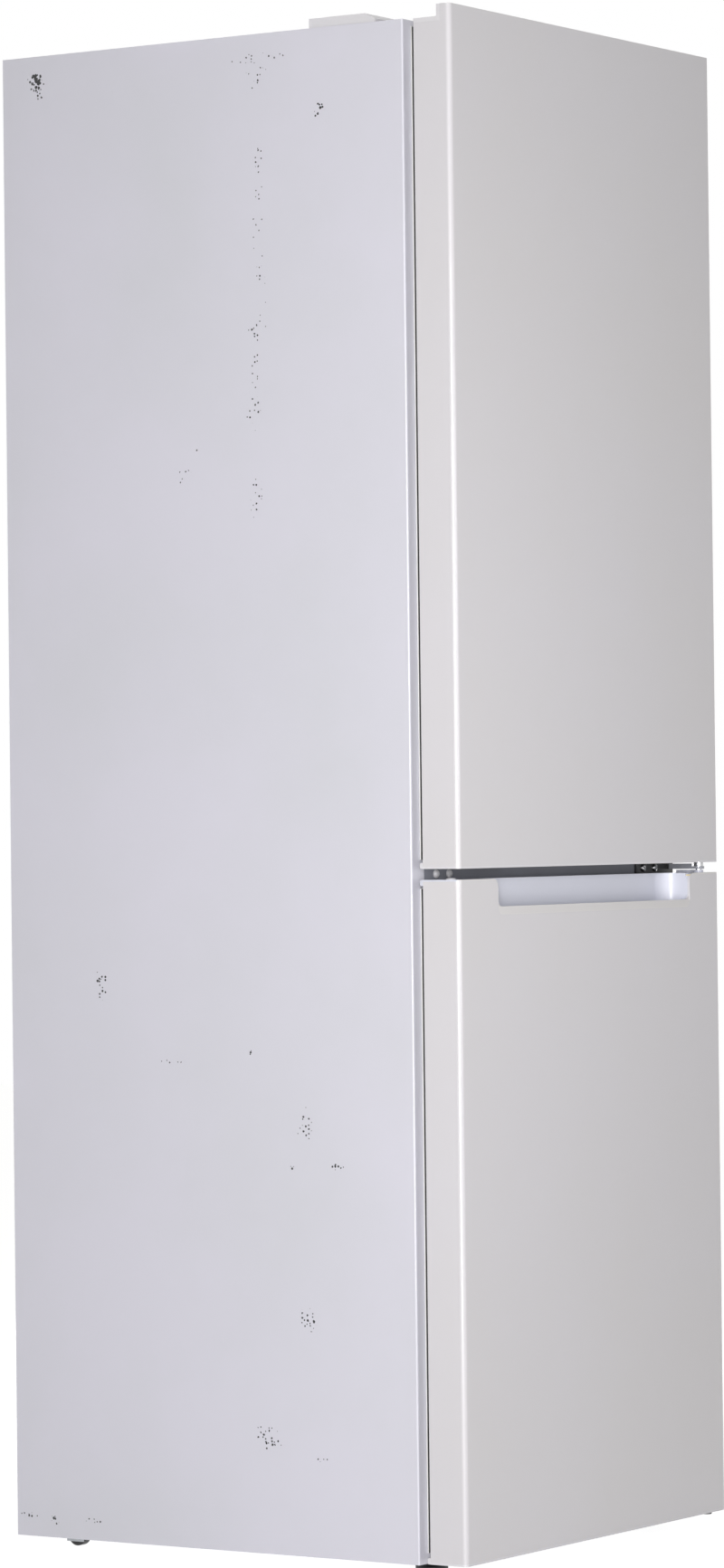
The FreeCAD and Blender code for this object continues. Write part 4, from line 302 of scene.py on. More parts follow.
# Chips where a strap or another appliance rubbed the left side on its way: a thin trail down the middle,
# one deep spot at the rear top corner, and lone patches and specks lower down.
SIDE_WEAR = (
    WearPatch(268, 1758, 13, 11, 1.5),
    WearPatch(265, 1742, 7, 9, 1.1),
    WearPatch(-60, 1758, 40, 6, 0.40),
    WearPatch(-49, 1738, 15, 15, 0.34),
    WearPatch(-140, 1696, 6, 5, 1.1),
    WearPatch(-134, 1688, 5, 4, 0.7),
    WearPatch(-52, 1640, 6, 20, 0.45),
    WearPatch(-50, 1573, 10, 42, 0.30),
    WearPatch(-54, 1500, 7, 40, 0.32),
    WearPatch(-47, 1444, 13, 12, 0.52),
    WearPatch(-46, 1405, 7, 34, 0.38),
    WearPatch(-43, 1347, 10, 24, 0.46),
    WearPatch(-45, 1247, 9, 28, 0.40),
    WearPatch(60, 1276, 12, 8, 0.55),
    WearPatch(43, 1308, 7, 5, 0.45),
    WearPatch(186, 685, 9, 9, 0.75),
    WearPatch(186, 668, 9, 8, 0.65),
    WearPatch(85, 587, 15, 5, 0.30),
    WearPatch(-28, 600, 3, 3, 0.9),
    WearPatch(-103, 516, 10, 22, 0.48),
    WearPatch(-84, 469, 3, 3, 1.2),
    WearPatch(-146, 471, 14, 4, 0.50),
    WearPatch(-105, 295, 13, 15, 0.74),
    WearPatch(-46, 153, 18, 16, 0.60),
    WearPatch(-117, 131, 18, 3, 0.55),
    WearPatch(299, 42, 14, 5, 0.62),
    WearPatch(261, 41, 6, 6, 1.0),
    WearPatch(203, 43, 26, 3, 0.45),
)


@dataclass(frozen=True)
class Finish:
    """A finish as it is made, and how it is drawn.

    Attributes:
        name: The real material and its process.
        colour: sRGB hex value of the clean surface.
        roughness: Roughness of the surface itself.
        relief: What made the fine relief.
        relief_mm: Width of one bump of the relief.
        depth_mm: Height of the relief.
        metallic: 1 for a bare metal.
        ior: Refractive index, left at 1.5 for a metal.
        coat: Weight of a clear gloss layer.
        coat_roughness: Roughness of that layer.
        stain: sRGB hex value that the colour wanders towards.
        stain_share: How far it goes at most.
        stain_mm: Width of a stained cloud.
        transmission: 1 for a clear body.
    """

    name: str
    colour: str
    roughness: float
    relief: Relief
    relief_mm: float
    depth_mm: float
    metallic: float = 0.0
    ior: float = 1.5
    coat: float = 0.0
    coat_roughness: float = 0.08
    stain: str = "b8b4a8"
    stain_share: float = 0.06
    stain_mm: float = 140.0
    transmission: float = 0.0

    def height(self, tree: bpy.types.NodeTree, place: bpy.types.NodeSocket) -> bpy.types.NodeSocket:
        """Draws the relief as a height from 0 to 1.

        Args:
            tree: The material's tree.
            place: Object coordinates in metres.

        Returns:
            The socket with the height.
        """
        scale = 1.0 / (self.relief_mm * MM)
        if self.relief is Relief.CELLS:
            cells = add_node(tree, "TexVoronoi", {"Scale": scale, "Randomness": 1.0}, {"Vector": place})
            return cells.outputs["Distance"]
        if self.relief is Relief.ROLLED:
            # Z is squeezed, so the noise draws long thin lines along it.
            flat = add_node(tree, "Mapping", {"Scale": (1.0, 1.0, ROLLING_SQUEEZE)}, {"Vector": place})
            place = flat.outputs["Vector"]
        detail = {Relief.PEEL: 1.0, Relief.SPARK: 3.0, Relief.ROLLED: 2.0, Relief.SMOOTH: 0.0}[self.relief]
        grain = {"Scale": scale, "Detail": detail, "Roughness": 0.6}
        return add_node(tree, "TexNoise", grain, {"Vector": place}).outputs["Fac"]

    def tint(self, tree: bpy.types.NodeTree, place: bpy.types.NodeSocket) -> bpy.types.NodeSocket:
        """Draws the colour, with soft clouds of its stain.

        Args:
            tree: The material's tree.
            place: Object coordinates in metres.

        Returns:
            The socket with the colour.
        """
        cloud = {"Scale": 1.0 / (self.stain_mm * MM), "Detail": 4.0, "Roughness": 0.55}
        clouds = add_node(tree, "TexNoise", cloud, {"Vector": place})
        share = ramp(tree, clouds.outputs["Fac"], *CLOUD_RANGE, 0.0, self.stain_share)
        return mix_colours(tree, share, self.colour, self.stain)

    def gloss(self, tree: bpy.types.NodeTree, height: bpy.types.NodeSocket) -> bpy.types.NodeSocket:
        """Lets the roughness follow the relief a little: hollows are duller than tops.

        Args:
            tree: The material's tree.
            height: The relief's height.

        Returns:
            The socket with the roughness.
        """
        spread = GLOSS_SPREAD * self.roughness
        return ramp(tree, height, 0.0, 1.0, self.roughness + spread, self.roughness - spread)

    def material(self) -> bpy.types.Material:
        """Makes the material: relief, tint and gloss, all drawn from the Object coordinates.

        Returns:
            The material.
        """
        made = bpy.data.materials.new(self.name)
        made.use_nodes = True
        tree = made.node_tree
        tree.nodes.clear()
        place = add_node(tree, "TexCoord").outputs["Object"]
        height = self.height(tree, place)
        bump = add_node(tree, "Bump", {"Strength": 1.0, "Distance": self.depth_mm * MM}, {"Height": height})
        shader = add_node(
            tree,
            "BsdfPrincipled",
            {
                "Metallic": self.metallic,
                "IOR": self.ior,
                "Coat Weight": self.coat,
                "Coat Roughness": self.coat_roughness,
                "Transmission Weight": self.transmission,
            },
            {
                "Base Color": self.tint(tree, place),
                "Roughness": self.gloss(tree, height),
                "Normal": bump.outputs["Normal"],
            },
        )
        add_node(tree, "OutputMaterial", links={"Surface": shader.outputs["BSDF"]})
        return made


@dataclass(frozen=True)
class WornPaint(Finish):
    """White coil coated steel with chips through the paint in given patches of the left side.

    Attributes:
        wear: The patches.
        side_x: Place of the panel that carries them, in metres.
        chip: sRGB hex value of the dirt and dark primer in a chip.
        chip_mm: Spacing of the chips.
        chip_reach: Radius of a chip as a share of that spacing, in light wear and in heavy wear.
        chip_edge: Width of a chip's soft edge, inside and outside its radius.
        full_wear: How far a cell's random value is below the wear where its chip has grown in full.
        bend_mm: How far the chips' outline is bent by the finer noise.
        fine_scale: Bumps of that noise to a metre.
    """

    wear: tuple[WearPatch, ...] = ()
    side_x: float = -0.2973
    chip: str = "18181b"
    chip_mm: float = 4.0
    chip_reach: tuple[float, float] = (0.17, 0.72)
    chip_edge: tuple[float, float] = (-0.03, 0.05)
    full_wear: float = 1.1
    bend_mm: float = 1.3
    fine_scale: float = 600.0

    def patches(self, tree: bpy.types.NodeTree, place: bpy.types.NodeSocket) -> bpy.types.NodeSocket:
        """Draws how worn each place is, from 0 on clean paint to about 1 in the middle of a patch.

        A patch is an ellipse. Its value is its strength in the middle, and falls with the squared distance
        in half widths, to nothing where that is 1.4. The patches are joined by the larger value.

        Args:
            tree: The material's tree.
            place: Object coordinates in metres.

        Returns:
            The socket with the wear.
        """
        worn = None
        # Across the panel one millimetre counts as a half width, so nothing else of the case is worn.
        across = 1.0 / MM
        for patch in self.wear:
            moved = add_node(
                tree,
                "VectorMath",
                {"operation": "SUBTRACT", 1: (self.side_x, patch.y_mm * MM, patch.z_mm * MM)},
                {0: place},
            )
            scaled = add_node(
                tree,
                "VectorMath",
                {
                    "operation": "MULTIPLY",
                    1: (across, 1.0 / (patch.half_depth_mm * MM), 1.0 / (patch.half_height_mm * MM)),
                },
                {0: moved.outputs[0]},
            )
            far = add_node(
                tree, "VectorMath", {"operation": "DOT_PRODUCT"}, {0: scaled.outputs[0], 1: scaled.outputs[0]}
            )
            value = ramp(tree, far.outputs["Value"], 0.0, PATCH_REACH, patch.strength, 0.0)
            worn = value if worn is None else calculate(tree, "MAXIMUM", worn, value)
        return worn

    def tint(self, tree: bpy.types.NodeTree, place: bpy.types.NodeSocket) -> bpy.types.NodeSocket:
        """Draws the clean paint, then the chips over it.

        Args:
            tree: The material's tree.
            place: Object coordinates in metres.

        Returns:
            The socket with the colour.
        """
        clean = super().tint(tree, place)
        if not self.wear:
            return clean
        worn = self.patches(tree, place)
        # The chips lie in the panel, so their cells are laid out on Y and Z alone, and a finer noise bends
        # them a little.
        fine = {"Scale": self.fine_scale, "Detail": 2.0, "Roughness": 0.6}
        ragged = add_node(tree, "TexNoise", fine, {"Vector": place})
        bend = add_node(
            tree,
            "VectorMath",
            {"operation": "MULTIPLY_ADD", 1: (0.0, self.bend_mm * MM, self.bend_mm * MM)},
            {0: ragged.outputs["Color"], 2: place},
        )
        axes = add_node(tree, "SeparateXYZ", links={0: bend.outputs[0]})
        flat = add_node(tree, "CombineXYZ", links={"X": axes.outputs["Y"], "Y": axes.outputs["Z"]})
        cells = add_node(
            tree,
            "TexVoronoi",
            {"voronoi_dimensions": "2D", "Scale": 1.0 / (self.chip_mm * MM), "Randomness": 1.0},
            {"Vector": flat.outputs[0]},
        )
        spread = add_node(tree, "SeparateColor", links={"Color": cells.outputs["Color"]})
        # A cell holds a chip where its random value is below the wear. Chips in light wear are dots, and
        # in heavy wear they grow into each other.
        odds = calculate(tree, "SUBTRACT", worn, spread.outputs["Red"])
        radius = ramp(tree, odds, 0.0, self.full_wear, *self.chip_reach)
        inside = calculate(tree, "SUBTRACT", radius, cells.outputs["Distance"])
        mark = ramp(tree, inside, *self.chip_edge, 0.0, 1.0)
        held = calculate(tree, "GREATER_THAN", odds, 0.0)
        return mix_colours(tree, calculate(tree, "MULTIPLY", mark, held), clean, self.chip)


@dataclass(frozen=True)
class FoldedVinyl(Finish):
    """White vinyl with painted shade in the groove behind its flat face: a dark grey that stands in for the
    shadow deep in the fold.

    Attributes:
        groove_y: Middle of the groove, in metres.
        groove_mm: Half the groove's width, and where the painted shade ends.
        groove_shade: sRGB hex value of the painted shade in the groove.
    """

    groove_y: float = -0.2575
    groove_mm: tuple[float, float] = (1.4, 2.1)
    groove_shade: str = "242322"

    def tint(self, tree: bpy.types.NodeTree, place: bpy.types.NodeSocket) -> bpy.types.NodeSocket:
        """Draws the clean vinyl, then the painted shade of the groove, which thins out at both sides of it.

        Args:
            tree: The material's tree.
            place: Object coordinates in metres.

        Returns:
            The socket with the colour.
        """
        clean = super().tint(tree, place)
        axes = add_node(tree, "SeparateXYZ", links={0: place})
        off = calculate(tree, "SUBTRACT", axes.outputs["Y"], self.groove_y)
        away = calculate(tree, "ABSOLUTE", off)
        near, far = (width * MM for width in self.groove_mm)
        # Painted shade: the groove is darkened where the shadow behind the face falls.
        return mix_colours(tree, ramp(tree, away, near, far, 1.0, 0.0), clean, self.groove_shade)


@dataclass(frozen=True)
class TwoToneFinish(Finish):
    """A finish whose front part has another colour than what lies behind it.

    Attributes:
        front: sRGB hex value of the front part.
        change_y: Where the front colour ends and where the finish's own is reached, in metres.
    """

    front: str = "ffffff"
    change_y: tuple[float, float] = (-0.001, 0.001)

    def tint(self, tree: bpy.types.NodeTree, place: bpy.types.NodeSocket) -> bpy.types.NodeSocket:
        """Draws the finish's own colour, then the front colour over it.

        Args:
            tree: The material's tree.
            place: Object coordinates in metres.

        Returns:
            The socket with the colour.
        """
        own = super().tint(tree, place)
        axes = add_node(tree, "SeparateXYZ", links={0: place})
        behind = ramp(tree, axes.outputs["Y"], *self.change_y, 0.0, 1.0)
        return mix_colours(tree, behind, self.front, own)


# Gloss white polyester on steel strip: a cool white with a sharp sheen and a faint orange peel.
# Real peel is 2 to 3 mm wide; it is drawn at 7 mm, because finer doesn't show in the render.
DOOR_PAINT = Finish(
    "coil_coated_steel_white", "d7d5d9", 0.34, Relief.PEEL, 7.0, 0.010, coat=0.55, coat_roughness=0.06,
    stain="d3d0cc", stain_share=0.35, stain_mm=420.0,
)
# The case carries the doors' paint, drawn bluer: that tint is painted cool light on the left side.
CASE_PAINT = WornPaint(
    "coil_coated_steel_white_chipped", "dad9e3", 0.36, Relief.PEEL, 7.0, 0.010,
    coat=0.45, coat_roughness=0.08, stain="cfd1d5", stain_share=0.5, stain_mm=330.0, wear=SIDE_WEAR,
)
# Injection moulded ABS: satin white, a shade warmer than the paint, with the fine grain of its tool.
# Spark eroded grain is 0.1 to 0.3 mm wide; it is drawn at 1.6 mm.
CAP_PLASTIC = Finish(
    "injection_moulded_abs_white", "dedde1", 0.42, Relief.SPARK, 1.6, 0.012, coat=0.1,
    stain="cfcbc0", stain_share=0.15,
)
# The lower door's cap with the cup of the hand recess: the same plastic, a little glossier. Its two colours
# are painted light: bluish and a little darker in the cup for the cool light and shade there, and warmer on
# its lip, which lies flush with the door's front, for the warm light on the fronts.
CUP_PLASTIC = TwoToneFinish(
    "injection_moulded_abs_white_painted_light", "d8dae5", 0.36, Relief.SPARK, 1.6, 0.012, coat=0.2,
    stain="cbcdd2", stain_share=0.15, front="dad8d8", change_y=(-0.3165, -0.3135),
)
# Vacuum formed high impact polystyrene: milky, glossier, stretched smooth in the corners.
LINER_PLASTIC = Finish(
    "vacuum_formed_polystyrene_white", "ebebe9", 0.3, Relief.SMOOTH, 60.0, 0.05,
    coat=0.25, coat_roughness=0.16, stain="d9d7cc", stain_share=0.2, stain_mm=200.0,
)
GREY_PLASTIC = Finish(
    "injection_moulded_polypropylene_grey", "9b9da1", 0.5, Relief.SPARK, 1.6, 0.015,
    stain="7f8083", stain_share=0.3, stain_mm=60.0,
)
# Soft extruded vinyl: dull white, and it picks up a greyish yellow cast with age. The dark colour in its
# groove is painted shade.
GASKET_VINYL = FoldedVinyl(
    "extruded_soft_vinyl_white", "f0f0ee", 0.55, Relief.SMOOTH, 30.0, 0.06,
    stain="d6d3c8", stain_share=0.25, stain_mm=90.0,
)
BLACK_RUBBER = Finish(
    "moulded_rubber_black", "222224", 0.72, Relief.SPARK, 2.0, 0.03,
    stain="3c3a37", stain_share=0.6, stain_mm=25.0,
)
BLACK_PLASTIC = Finish(
    "injection_moulded_polyamide_black", "1c1c1e", 0.45, Relief.SPARK, 1.6, 0.015,
    stain="2e2d2c", stain_share=0.5, stain_mm=40.0,
)
# Black dip coat on pressed steel: half gloss, with grey dust in soft clouds.
BLACK_PAINT = Finish(
    "dip_coated_steel_black", "17181a", 0.38, Relief.PEEL, 4.0, 0.02, coat=0.3, coat_roughness=0.2,
    stain="4c4944", stain_share=0.5, stain_mm=45.0,
)
# The middle hinge: its plate on the rail is dipped in black, and its arm keeps the grey phosphate layer.
HINGE_STEEL = TwoToneFinish(
    "half_dip_coated_steel", "17181a", 0.42, Relief.PEEL, 4.0, 0.02, coat=0.2, coat_roughness=0.2,
    stain="4c4944", stain_share=0.3, stain_mm=45.0, front="9c9ea5", change_y=(-0.2610, -0.2590),
)
GREY_PAINT = Finish(
    "painted_sheet_steel_grey", "888a94", 0.48, Relief.PEEL, 5.0, 0.015,
    stain="77777a", stain_share=0.45, stain_mm=180.0,
)
# Zinc plated steel: cool grey with cloudy bright and dull areas a few centimetres wide.
ZINC_STEEL = Finish(
    "zinc_plated_steel", "b4b7bb", 0.38, Relief.ROLLED, 2.0, 0.01, metallic=1.0,
    stain="85888d", stain_share=0.9, stain_mm=28.0,
)
BRIGHT_STEEL = Finish(
    "ground_steel_bright", "c9cacc", 0.2, Relief.ROLLED, 1.2, 0.004, metallic=1.0,
    stain="9c9a98", stain_share=0.5, stain_mm=12.0,
)
ALUMINIUM = Finish(
    "rolled_aluminium_mill_finish", "cfd1d3", 0.32, Relief.ROLLED, 1.5, 0.006, metallic=1.0,
    stain="a9abad", stain_share=0.6, stain_mm=30.0,
)
# Drawn copper tube: warm, with brown oxide clouds from brazing heat.
COPPER = Finish(
    "drawn_copper_tube", "b87a5a", 0.3, Relief.SMOOTH, 8.0, 0.01, metallic=1.0,
    stain="6d4630", stain_share=0.75, stain_mm=35.0,
)
# Rigid polyurethane foam: pale straw, matt, with cells of 0.3 mm that are drawn at 2.5 mm.
FOAM = Finish(
    "poured_polyurethane_foam", "e2d3a0", 0.9, Relief.CELLS, 2.5, 0.25,
    stain="cbb374", stain_share=0.6, stain_mm=60.0,
)
# Toughened float glass, faintly green: clear, seen mostly by its edges and reflections.
SHELF_GLASS = Finish(
    "toughened_float_glass", "e3f0eb", 0.03, Relief.SMOOTH, 120.0, 0.01, ior=1.52, transmission=1.0,
    stain="d5e6e0", stain_share=0.3, stain_mm=200.0,
)
# Crystal polystyrene: clear with a cold tint, and soft moulding ripples.
CLEAR_PLASTIC = Finish(
    "injection_moulded_polystyrene_clear", "e9f0f6", 0.07, Relief.SMOOTH, 40.0, 0.05,
    ior=1.59, transmission=0.9, stain="dbe4ec", stain_share=0.4, stain_mm=90.0,
)
LENS_PLASTIC = Finish(
    "opal_polycarbonate", "f1f0ea", 0.35, Relief.SMOOTH, 25.0, 0.03, ior=1.58, transmission=0.45,
    stain="e2dfd2", stain_share=0.4, stain_mm=40.0,
)

SLOT_FINISHES: dict[Slot, Finish] = {
    Slot.WHITE_PAINT: DOOR_PAINT,
    Slot.WHITE_PLASTIC: CAP_PLASTIC,
    Slot.LINER_WHITE: LINER_PLASTIC,
    Slot.GREY_PLASTIC: GREY_PLASTIC,
    Slot.GASKET_WHITE: GASKET_VINYL,
    Slot.BLACK_RUBBER: BLACK_RUBBER,
    Slot.BLACK_PLASTIC: BLACK_PLASTIC,
    Slot.BLACK_PAINT: BLACK_PAINT,
    Slot.GREY_PAINT: GREY_PAINT,
    Slot.ZINC_STEEL: ZINC_STEEL,
    Slot.BRIGHT_STEEL: BRIGHT_STEEL,
    Slot.ALUMINIUM: ALUMINIUM,
    Slot.COPPER: COPPER,
    Slot.FOAM: FOAM,
    Slot.SHELF_GLASS: SHELF_GLASS,
    Slot.CLEAR_PLASTIC: CLEAR_PLASTIC,
    Slot.LENS_PLASTIC: LENS_PLASTIC,
}


# Finishes of single nodes that differ from their slot's.
OWN_FINISHES: dict[str, Finish] = {
    "outer_case": CASE_PAINT,
    "lower_door_top_cap": CUP_PLASTIC,
    "middle_hinge": HINGE_STEEL,
}


@dataclass
class Palette:
    """Makes each finish once and puts it on pieces.

    Attributes:
        own: Finishes of single nodes that differ from their slot's.
        made: The materials made so far, by name.
    """

    own: dict[str, Finish] = field(default_factory=lambda: dict(OWN_FINISHES))
    made: dict[str, bpy.types.Material] = field(default_factory=dict)

    def get(self, finish: Finish) -> bpy.types.Material:
        """Looks up the material of a finish, and makes it the first time.

        Args:
            finish: The finish.

        Returns:
            Its material.
        """
        if finish.name not in self.made:
            self.made[finish.name] = finish.material()
        return self.made[finish.name]

    def put(self, piece: bpy.types.Object, finish: Finish) -> None:
        """Puts one finish on a whole piece.

        Args:
            piece: The piece.
            finish: Its finish.
        """
        material = self.get(finish)
        if piece.material_slots:
            for slot in piece.material_slots:
                slot.link = "OBJECT"
                slot.material = material
        else:
            piece.data.materials.append(material)

    def dress(self, frame: dict[str, Any]) -> None:
        """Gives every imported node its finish.
        """
        for part in frame["record"]["subparts"]:
            name = part["node"]
            finish = self.own.get(name) or SLOT_FINISHES[Slot(part["material_slot"])]
            self.put(frame["nodes"][name], finish)
            LOG.info("%s has the finish %s", name, finish.name)


# New pieces


@dataclass
class DoorGasket:
    """Magnetic gasket of one door: a flat face with a magnet in it, on two folded walls.

    Attributes:
        name: Name of the piece.
        node: The node that it stands for.
        body: The door that it rides on.
        stations: Places along each side of the rectangle.
        ripple: How far the folded walls wander, in metres.
        waves: How many waves of that ripple go round the door.
        folds: Where the folded walls start and end behind the face, in metres.
        section_mm: The section, counter-clockwise seen along the run: how far in from the outer edge,
            and how far behind the face. The face is 18 wide, and the folds are 9 wide at the door.
    """

    name: str
    node: str
    body: str
    stations: int = 40
    ripple: float = 0.0003
    waves: int = 7
    folds: tuple[float, float] = (0.006, 0.0142)
    section_mm: tuple[tuple[float, float], ...] = (
        (0.0, 1.2), (0.3, 0.5), (1.4, 0.1), (2.6, 0.0), (9.0, 0.0), (15.4, 0.0), (16.6, 0.1), (17.7, 0.5),
        (18.0, 1.2), (17.9, 1.8), (17.2, 2.3), (15.6, 2.9), (13.9, 4.6), (13.1, 6.6), (13.5, 8.6),
        (14.0, 9.9), (13.7, 10.9), (12.9, 11.8), (12.7, 13.2), (13.4, 14.6), (9.5, 14.7), (5.6, 14.6),
        (6.3, 13.2), (6.1, 11.8), (5.3, 10.9), (5.0, 9.9), (5.5, 8.6), (5.9, 6.6), (5.1, 4.6), (3.4, 2.9),
        (0.8, 2.3), (0.1, 1.8),
    )

    def build(self, palette: Palette) -> bpy.types.Object:
        """Builds the gasket where its node is.

        The run is a rectangle with mitred corners. At corner k the section point that lies a in from
        the outer edge is the corner plus a times the inward diagonal; between two corners it goes
        straight. Its depth behind the face is taken off Y, and a slow sine moves the folds in and out:
        fully in the middle of their depth, and not at all at their start and end.

        Args:
            palette: Where its finish comes from.

        Returns:
            The piece.
        """
        low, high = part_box(self.node)
        section = np.array(self.section_mm) * MM
        corners = np.array([[low.x, low.z], [high.x, low.z], [high.x, high.z], [low.x, high.z]])
        inward = np.array([[1.0, 1.0], [-1.0, 1.0], [-1.0, -1.0], [1.0, -1.0]])
        run = corners[:, None, :] + inward[:, None, :] * section[None, :, 0, None]
        nearer = np.roll(run, -1, axis=0)
        share = (np.arange(self.stations) / self.stations)[None, :, None, None]
        path = run[:, None] * (1.0 - share) + nearer[:, None] * share
        path = path.reshape(-1, len(section), 2)
        wave = np.sin(np.arange(len(path)) * 2.0 * math.pi * self.waves / len(path))
        fold_start, fold_end = self.folds
        # The product below is about this large in the middle of the folds.
        most = 1.6e-5
        soft = np.clip((section[:, 1] - fold_start) * (fold_end - section[:, 1]) / most, 0.0, 1.0)
        middle = np.array([(low.x + high.x) / 2, (low.z + high.z) / 2])
        path = path + np.sign(path - middle) * self.ripple * soft[None, :, None] * wave[:, None, None]
        depth = np.broadcast_to(high.y - section[:, 1], path.shape[:2])
        points = np.stack([path[..., 0], depth, path[..., 1]], axis=-1).reshape(-1, 3)
        faces = ring_faces(len(path), len(section), True)
        piece = surface_object(self.name, points, faces, 50.0)
        palette.put(piece, GASKET_VINYL)
        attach(piece, self.body)
        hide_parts(self.node)
        return piece


class Facing(Enum):
    """Which way a screw head faces."""

    UP = (0.0, 0.0, 1.0)
    DOWN = (0.0, 0.0, -1.0)
    FRONT = (0.0, -1.0, 0.0)


@dataclass(frozen=True)
class ScrewPlace:
    """Where a screw head sits: the middle of its seat, in millimetres, which way it faces, and its turn."""

    x_mm: float
    y_mm: float
    z_mm: float
    facing: Facing
    turn: float


@dataclass
class HingeScrews:
    """Pan head screws of the three hinges, with a cross recess in each head.

    Attributes:
        places: Where they sit.
        head_radius_mm: Radius of a head.
        head_height_mm: Height of a head.
        shank_radius_mm: Radius of the thread.
        shank_mm: Length under the head.
        recess_mm: Depth of the cross in the middle of the head.
        slot_mm: Width of one slot of the cross.
        slot_length_mm: Length of one slot.
        rim_mm: Width of the sloping wall at a slot's side, and at its end.
        rise: Share of the depth that a slot loses towards the head's rim.
        around: Points round a head.
    """

    places: tuple[ScrewPlace, ...] = (
        ScrewPlace(279.0, -156.0, 1790.0, Facing.UP, 0.3),
        ScrewPlace(250.0, -156.0, 1790.0, Facing.UP, 1.1),
        ScrewPlace(250.0, -191.0, 1790.0, Facing.UP, 0.7),
        ScrewPlace(247.0, -256.5, 807.25, Facing.FRONT, 0.25),
        ScrewPlace(219.0, -256.5, 807.25, Facing.FRONT, 1.3),
        ScrewPlace(279.4, -223.5, 16.0, Facing.DOWN, 0.9),
        ScrewPlace(257.8, -223.5, 16.0, Facing.DOWN, 0.1),
        ScrewPlace(237.1, -223.5, 16.0, Facing.DOWN, 0.5),
    )
    head_radius_mm: float = 4.6
    head_height_mm: float = 2.6
    shank_radius_mm: float = 2.2
    shank_mm: float = 12.0
    recess_mm: float = 1.5
    slot_mm: float = 1.15
    slot_length_mm: float = 4.6
    rim_mm: tuple[float, float] = (0.25, 0.35)
    rise: float = 0.45
    around: int = 64

    def head(self) -> tuple[np.ndarray, np.ndarray]:
        """Shapes one screw about the origin, its head up.

        Rings of growing radius carry the domed head: the height is the head's height times the fourth
        root of one less the fourth power of the radius share, less the recess where the point lies in
        one of two crossed slots. Three more rings carry the shank down to its pointed end.

        Returns:
            Points in millimetres and quads.
        """
        share = np.concatenate([np.linspace(0.0, 0.7, 15), np.array([0.78, 0.86, 0.92, 0.96, 0.99, 1.0])])
        angle = np.arange(self.around) * 2.0 * math.pi / self.around
        radius = share[:, None] * self.head_radius_mm * np.ones_like(angle)
        x, y = radius * np.cos(angle), radius * np.sin(angle)
        dome = self.head_height_mm * (1.0 - share[:, None] ** 4) ** 0.25 * np.ones_like(angle)
        across = np.minimum(np.abs(x), np.abs(y))
        along = np.maximum(np.abs(x), np.abs(y))
        side, end = self.rim_mm
        beside = np.clip((self.slot_mm / 2 - across) / side + 0.5, 0.0, 1.0)
        before = np.clip((self.slot_length_mm / 2 - along) / end + 0.5, 0.0, 1.0)
        z = dome - self.recess_mm * beside * before * (1.0 - self.rise * radius / self.head_radius_mm)
        rings = [np.stack([x, y, z], axis=-1)]
        neck, length = self.shank_radius_mm, self.shank_mm
        for r, depth in ((neck, 0.0), (neck, length), (0.0, length + 1.0)):
            ring = np.stack([r * np.cos(angle), r * np.sin(angle), np.full_like(angle, -depth)], axis=-1)
            rings.append(ring[None])
        points = np.concatenate(rings, axis=0)
        faces = ring_faces(points.shape[0], self.around, False)
        # The first and the last ring have no radius, so each is taken as its first point.
        faces = np.where(faces < self.around, 0, faces)
        last = (points.shape[0] - 1) * self.around
        faces = np.where(faces >= last, last, faces)
        return points.reshape(-1, 3), faces

    def build(self, palette: Palette) -> bpy.types.Object:
        """Builds all the screws as one piece.

        Args:
            palette: Where their finish comes from.

        Returns:
            The piece.
        """
        head, quads = self.head()
        points, faces = [], []
        for number, place in enumerate(self.places):
            turned = Matrix.Rotation(place.turn, 3, "Z")
            facing = Vector((0.0, 0.0, 1.0)).rotation_difference(Vector(place.facing.value)).to_matrix()
            placed = head @ np.array(facing @ turned).T + np.array([place.x_mm, place.y_mm, place.z_mm])
            points.append(placed * MM)
            faces.append(quads + number * len(head))
        points, faces = np.concatenate(points), np.concatenate(faces)
        # Points that no face names are left out.
        used, renumbered = np.unique(faces, return_inverse=True)
        piece = surface_object("screw_heads", points[used], renumbered.reshape(faces.shape), 40.0)
        palette.put(piece, BRIGHT_STEEL)
        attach(piece, "cabinet")
        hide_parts("hinge_screws")
        return piece


# Studio


@dataclass(frozen=True)
class SoftBox:
    """A rectangular lamp: its name, its middle, what it faces, its width and height, and its watts."""

    name: str
    place: tuple[float, float, float]
    target: tuple[float, float, float]
    size: tuple[float, float]
    watts: float

    def add(self, colour: str) -> None:
        """Puts the lamp in the scene.

        Args:
            colour: sRGB hex value of its light.
        """
        light = bpy.data.lights.new(self.name, "AREA")
        light.shape = "RECTANGLE"
        light.size, light.size_y = self.size
        light.energy = self.watts
        light.color = linear(colour)[:3]
        lamp = bpy.data.objects.new(self.name, light)
        lamp.location = self.place
        facing = Vector(self.target) - Vector(self.place)
        lamp.rotation_euler = facing.to_track_quat("-Z", "Y").to_euler()
        bpy.context.scene.collection.objects.link(lamp)


# The light of a room whose windows are behind whoever looks at the left front edge: two tall boxes there
# that also shine into the gap behind the doors, and one above for the top. A weak strip before the
# doors makes their left half the lighter one, and one box lights the sides turned away.
SOFT_BOXES = (
    SoftBox("near_window_box", (-2.9, -2.1, 0.9), (-0.3, -0.3, 0.9), (0.5, 1.8), 50.5),
    SoftBox("far_window_box", (-4.0, -2.5, 0.9), (-0.3, -0.1, 0.9), (0.6, 1.8), 88.0),
    SoftBox("ceiling_box", (0.2, 0.2, 3.5), (0.2, 0.2, 0.0), (0.6, 0.6), 16.0),
    SoftBox("front_strip", (-0.5, -1.6, 1.05), (-0.1, -0.3, 1.05), (0.4, 0.9), 3.6),
    SoftBox("turned_away_box", (2.5, 1.7, 1.3), (0.3, 0.1, 0.9), (1.2, 1.6), 30.0),
)


